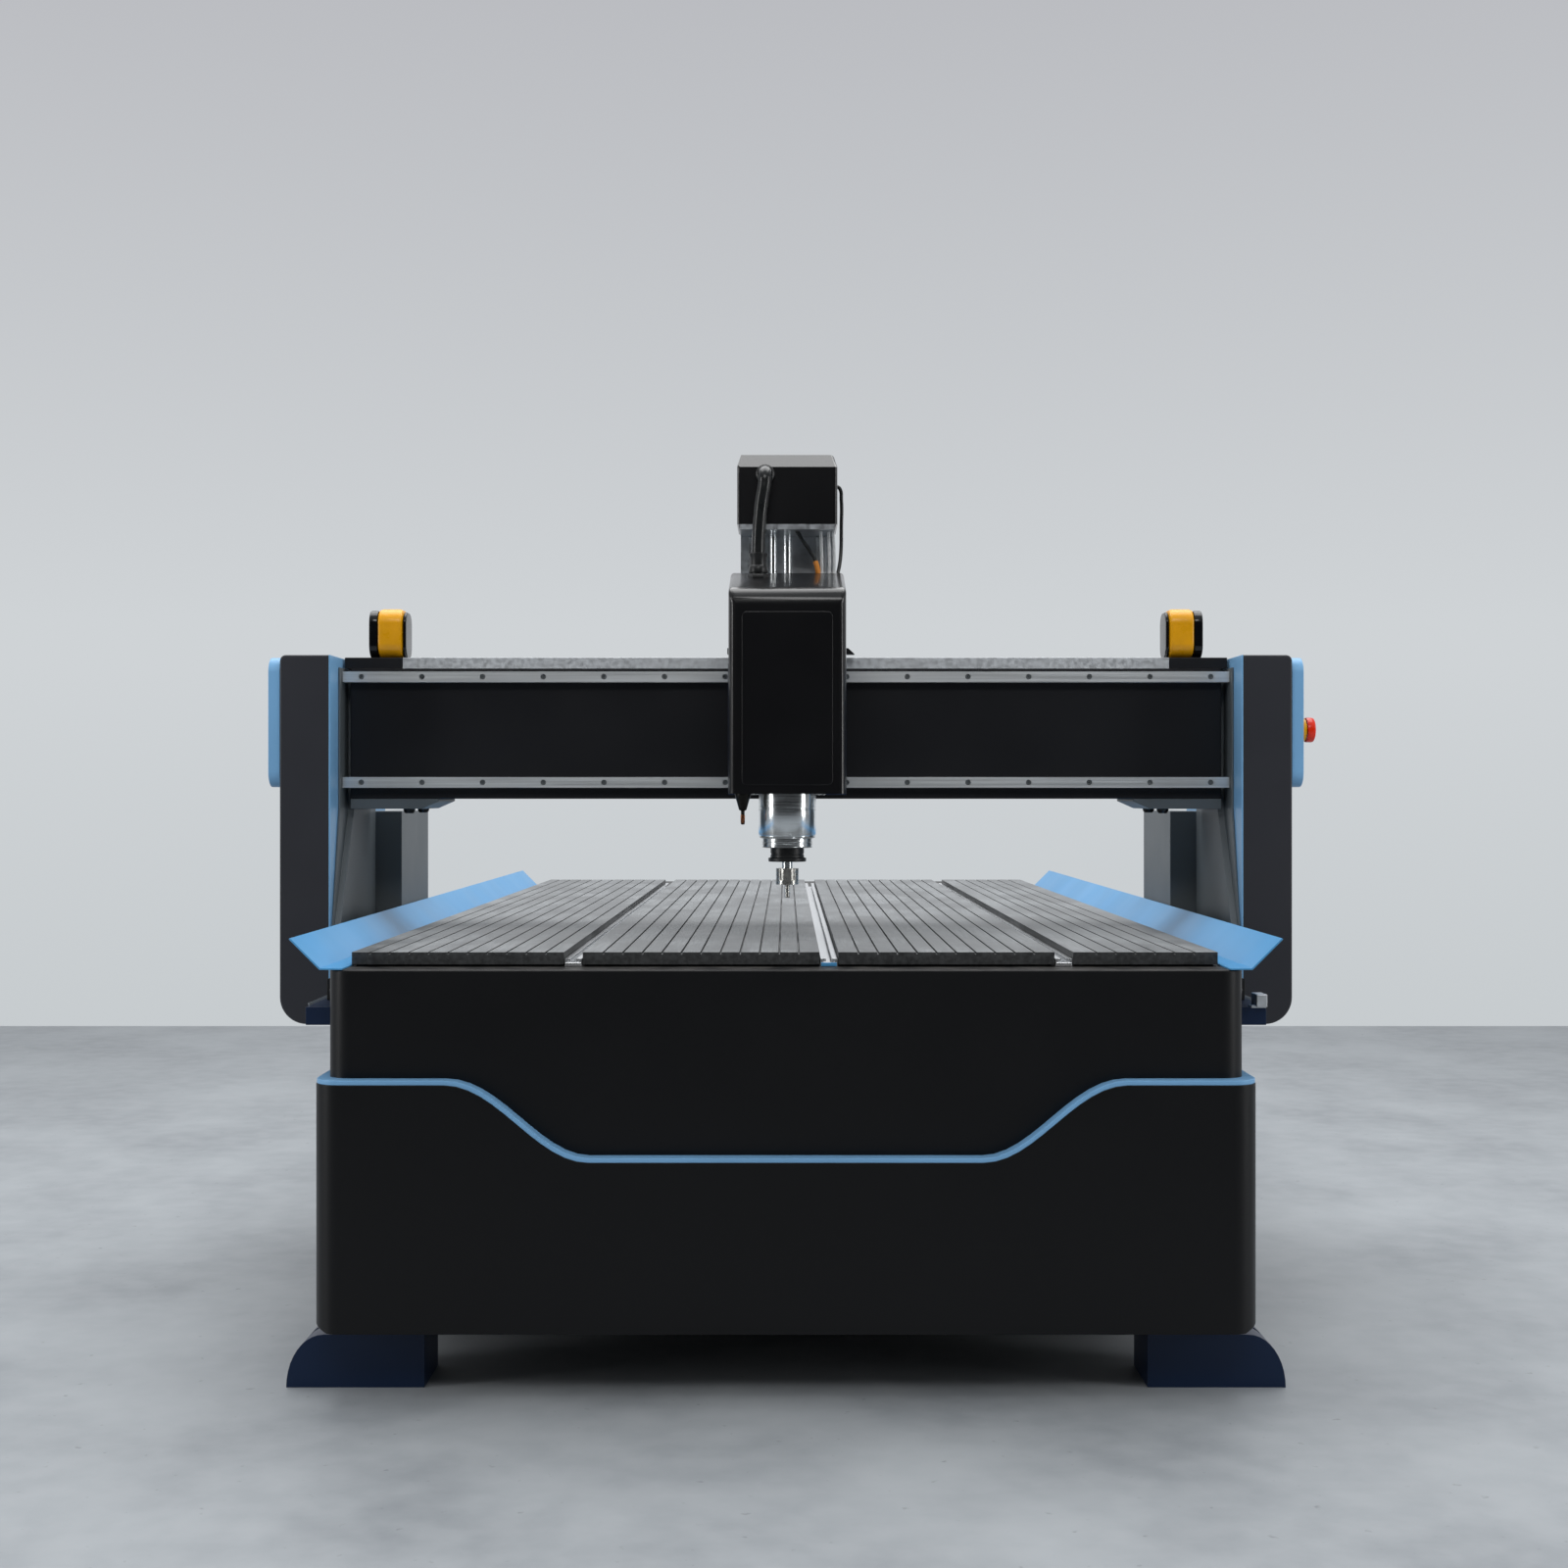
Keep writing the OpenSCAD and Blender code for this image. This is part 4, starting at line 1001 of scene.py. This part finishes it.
# ---------- hoses and cables ----------
class ROUTER_OT_lines(RouterStep, bpy.types.Operator):
    """Bends the spindle conduit, the cables and the air tubes between the head and the carriage"""

    bl_idname = "router.lines"
    bl_label = "Conduit, cables and air tubes"

    def build(self):
        self.axis = middle("spindle_shaft").x
        self.conduit()
        self.cables()
        self.air_tubes()

    def bent(self, name, route, diameter, finish, low, high, *nodes):
        """A line along the route, given in mm, in the given finish. Low and high, both in mm, are not used.
        """
        line = tube(name, millimetres(route, self.axis), diameter)
        line.data.materials.clear()
        line.data.materials.append(FINISH[finish])
        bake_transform(line)
        if nodes:
            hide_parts(*nodes)
        return line

    def conduit(self):
        route = [
            (-55, -1150, 1404), (-55, -1150, 1440), (-53, -1151, 1490), (-48, -1153, 1540),
            (-43, -1155, 1570), (-42, -1152, 1588), (-42, -1140, 1595), (-42, -1121, 1595),
        ]
        self.bent("conduit", route, sizes().conduit_d, "hose", 1440, 1575, "head_lines")
        foot = (self.axis - 55 * MM, -1.15, 5 * MM)
        collar = [
            (0, 1386), (14, 1386), (14, 1398), (17, 1399), (17.5, 1401), (17.5, 1409), (16.5, 1411),
            (15, 1413), (15, 1427), (17, 1431), (17.5, 1435), (16, 1436), (13.2, 1436), (0, 1434),
        ]
        sleeve = turned("conduit_collar", [(r * MM, z * MM) for r, z in collar], foot, "Z", 40)
        dress(sleeve, "black", "z_head", "black_plastic")
        nut = turned(
            "conduit_nut",
            [(0, 1.384), (0.019, 1.384), (0.02, 1.386), (0.02, 1.394), (0.019, 1.396), (0, 1.396)],
            foot, "Z", 6,
        )
        dress(nut, "black", "z_head", "black_plastic")
        gland = [(0, 2), (17, 2), (18, 0), (18, -6), (16, -8), (14, -9), (14, -14), (0, -14)]
        plug = turned(
            "conduit_gland", [(r * MM, y * MM) for r, y in gland], (self.axis - 0.042, -1.12, 1.595), "Y", 32
        )
        dress(plug, "black", "x_carriage", "black_plastic")

    def cables(self):
        route = [
            (60, -1095, 1400), (56, -1090, 1428), (44, -1088, 1452), (30, -1088, 1472),
            (18, -1088, 1492),
        ]
        self.bent("spindle_cable", route, sizes().cable_d, "hose", LINE_FOOT, LINE_TOP)
        sleeve = [
            (61, -1095, 1398), (60, -1094, 1406), (58.5, -1093, 1415), (56.5, -1091.5, 1424),
            (54, -1089.5, 1432),
        ]
        self.bent("cable_sleeve", sleeve, sizes().cable_d * 1.35, "sleeve", LINE_FOOT, LINE_TOP)
        loop = [
            (93, -1075, 1580), (101, -1075, 1574), (104, -1075, 1552), (104, -1076, 1500),
            (103, -1080, 1450), (100, -1085, 1424), (94, -1090, 1400),
        ]
        self.bent("side_cable", loop, 7 * MM, "hose", 1415, 1560)

    def air_tubes(self):
        routes = (
            [(66, -1092, 1400), (66, -1090, 1440), (64, -1088, 1492)],
            [(80, -1092, 1400), (81, -1088, 1440), (79, -1086, 1492)],
            [(89, -1094, 1400), (90, -1090, 1430), (88, -1086, 1492)],
        )
        profile = ((0, 0), (5.5, 0), (6, 1), (6, 9.5), (5, 11.5), (0, 11.5))
        for count, route in enumerate(routes):
            self.bent(f"air_tube_{count + 1}", route, sizes().air_d, "air", LINE_FOOT, LINE_TOP)
            x, y, z = millimetres([route[0]], self.axis)[0]
            fitting = turned(
                f"air_fitting_{count + 1}",
                [(r * MM, height * MM) for r, height in profile],
                (x, y, z), "Z", 20,
            )
            dress(fitting, "air", "z_head", "black_plastic")


# ---------- stage ----------
def area_light(name, place, target, width, depth, power, code="#ffffff"):
    lamp = bpy.data.lights.new(name, "AREA")
    lamp.shape = "RECTANGLE"
    lamp.size = width
    lamp.size_y = depth
    lamp.energy = power
    lamp.color = linear(code)[:3]
    holder = bpy.data.objects.new(name, lamp)
    bpy.context.scene.collection.objects.link(holder)
    holder.location = place
    holder.rotation_euler = (Vector(target) - Vector(place)).to_track_quat("-Z", "Y").to_euler()
    return holder


def concrete():
    """Trowelled concrete: pale, softly clouded and lightly sealed, with fine pits."""
    made, tree, shader, place = new_material("trowelled_concrete")
    clouds = noise(tree, stretched(tree, place, (1.0, 0.8, 1.0)), 420, 8.0)
    trowel = noise(tree, place, 70, 6.0)
    base = mixed(tree, spread(tree, clouds, 0.0, 1.0), linear("#90959a"), linear("#a7acb0"))
    base = mixed(tree, spread(tree, trowel, 0.0, 0.3), base, linear("#b4b8bb"))
    pits = spread(tree, noise(tree, place, 22, 2.0), 0.0, 0.5, 0.7, 0.78)
    tree.links.new(mixed(tree, pits, base, linear("#6a6e71")), shader.inputs["Base Color"])
    tree.links.new(spread(tree, clouds, 0.48, 0.6), shader.inputs["Roughness"])
    bump(tree, shader, trowel, 0.3, 0.1)
    return made


class ROUTER_OT_stage(RouterStep, bpy.types.Operator):
    """Lays the floor and sets the lights, the backdrop glow and the camera"""

    bl_idname = "router.stage"
    bl_label = "Floor, lights and camera"

    def build(self):
        self.floor()
        self.lights()
        self.backdrop()
        self.camera()
        bpy.context.scene.view_settings.view_transform = "Standard"

    def floor(self):
        bpy.ops.mesh.primitive_plane_add(size=1)
        ground = bpy.context.object
        ground.name = "studio_floor"
        edit(ground, "VERT")
        bpy.ops.mesh.select_all(action="SELECT")
        bpy.ops.transform.resize(value=(22, 12.7, 1))
        bpy.ops.transform.translate(value=(0, -2.64, 0))
        bpy.ops.object.mode_set(mode="OBJECT")
        ground.data.materials.append(concrete())

    def lights(self):
        centre = (0, -0.3, 0.9)
        area_light("overhead_softbox", (0, 0.2, 4.4), (0, 0.2, 0), 4.6, 3.6, 170)
        area_light("left_softbox", (-4.6, -3.0, 1.9), centre, 0.9, 3.0, 60)
        area_light("right_softbox", (4.6, -3.0, 1.9), centre, 0.9, 3.0, 60)
        area_light("front_softbox", (0, -6.4, 4.7), (0, -1.0, 0.9), 4.0, 1.2, 75)

    def backdrop(self):
        world = bpy.data.worlds.new("studio")
        bpy.context.scene.world = world
        world.use_nodes = True
        tree = world.node_tree
        glow = tree.nodes["Background"]
        direction = add_node(tree, "ShaderNodeTexCoord").outputs["Generated"]
        split = add_node(tree, "ShaderNodeSeparateXYZ", {"Vector": direction})
        low = spread(tree, split.outputs["Z"], 0.0, 1.0, -0.12, 0.06)
        wall = mixed(tree, low, linear("#c6cbce"), linear("#cfd3d6"))
        high = spread(tree, split.outputs["Z"], 0.0, 1.0, 0.08, 0.42)
        wall = mixed(tree, high, wall, linear("#b6b7bc"))
        below = spread(tree, split.outputs["Z"], 1.0, 0.0, -0.32, -0.2)
        wall = mixed(tree, below, wall, linear("#9a9ea2"))
        back = spread(tree, split.outputs["Y"], 0.03, 0.8, -0.3, 0.7)
        up = spread(tree, split.outputs["Z"], 0.0, 0.75, 0.2, 0.95)
        power = add_node(tree, "ShaderNodeMath", {0: back, 1: up}, operation="MAXIMUM").outputs["Value"]
        soft = add_node(tree, "ShaderNodeBackground", {"Color": linear("#eef1f5"), "Strength": power})
        tree.links.new(wall, glow.inputs["Color"])
        seen = add_node(tree, "ShaderNodeLightPath").outputs["Is Camera Ray"]
        both = add_node(
            tree,
            "ShaderNodeMixShader",
            {0: seen, 1: soft.outputs["Background"], 2: glow.outputs["Background"]},
        )
        tree.links.new(both.outputs["Shader"], tree.nodes["World Output"].inputs["Surface"])

    def camera(self):
        lens = bpy.data.cameras.new("camera")
        lens.lens = 47.25
        lens.shift_x = -0.00125
        lens.shift_y = 0.00625
        lens.clip_end = 60
        holder = bpy.data.objects.new("camera", lens)
        bpy.context.scene.collection.objects.link(holder)
        holder.location = (0, -5.035, 0.987)
        holder.rotation_euler = (math.radians(90), 0, 0)
        bpy.context.scene.camera = holder


# ---------- panel and registration ----------
STEPS = (
    ROUTER_OT_finishes,
    ROUTER_OT_bed_frame,
    ROUTER_OT_bed_covers,
    ROUTER_OT_access_panels,
    ROUTER_OT_bed_rails,
    ROUTER_OT_table,
    ROUTER_OT_gantry,
    ROUTER_OT_columns,
    ROUTER_OT_sensors,
    ROUTER_OT_stop,
    ROUTER_OT_carriage,
    ROUTER_OT_head,
    ROUTER_OT_lines,
    ROUTER_OT_stage,
)


class ROUTER_PT_build(bpy.types.Panel):
    """Lists the steps of the build"""

    bl_idname = "ROUTER_PT_build"
    bl_label = "Gantry router"
    bl_space_type = "VIEW_3D"
    bl_region_type = "UI"
    bl_category = "Router"

    def draw(self, context):
        for group in (context.scene.router_colours, context.scene.router_sizes):
            for name in group.__annotations__:
                self.layout.prop(group, name)
        for step in STEPS:
            self.layout.operator(step.bl_idname)


CLASSES = (RouterColours, RouterSizes, *STEPS, ROUTER_PT_build)


def register():
    for cls in CLASSES:
        bpy.utils.register_class(cls)
    bpy.types.Scene.router_colours = bpy.props.PointerProperty(type=RouterColours)
    bpy.types.Scene.router_sizes = bpy.props.PointerProperty(type=RouterSizes)


def unregister():
    del bpy.types.Scene.router_sizes
    del bpy.types.Scene.router_colours
    for cls in reversed(CLASSES):
        bpy.utils.unregister_class(cls)


def main():
    register()
    for step in STEPS:
        family, name = step.bl_idname.split(".")
        getattr(getattr(bpy.ops, family), name)()


if __name__ == "__main__":
    main()
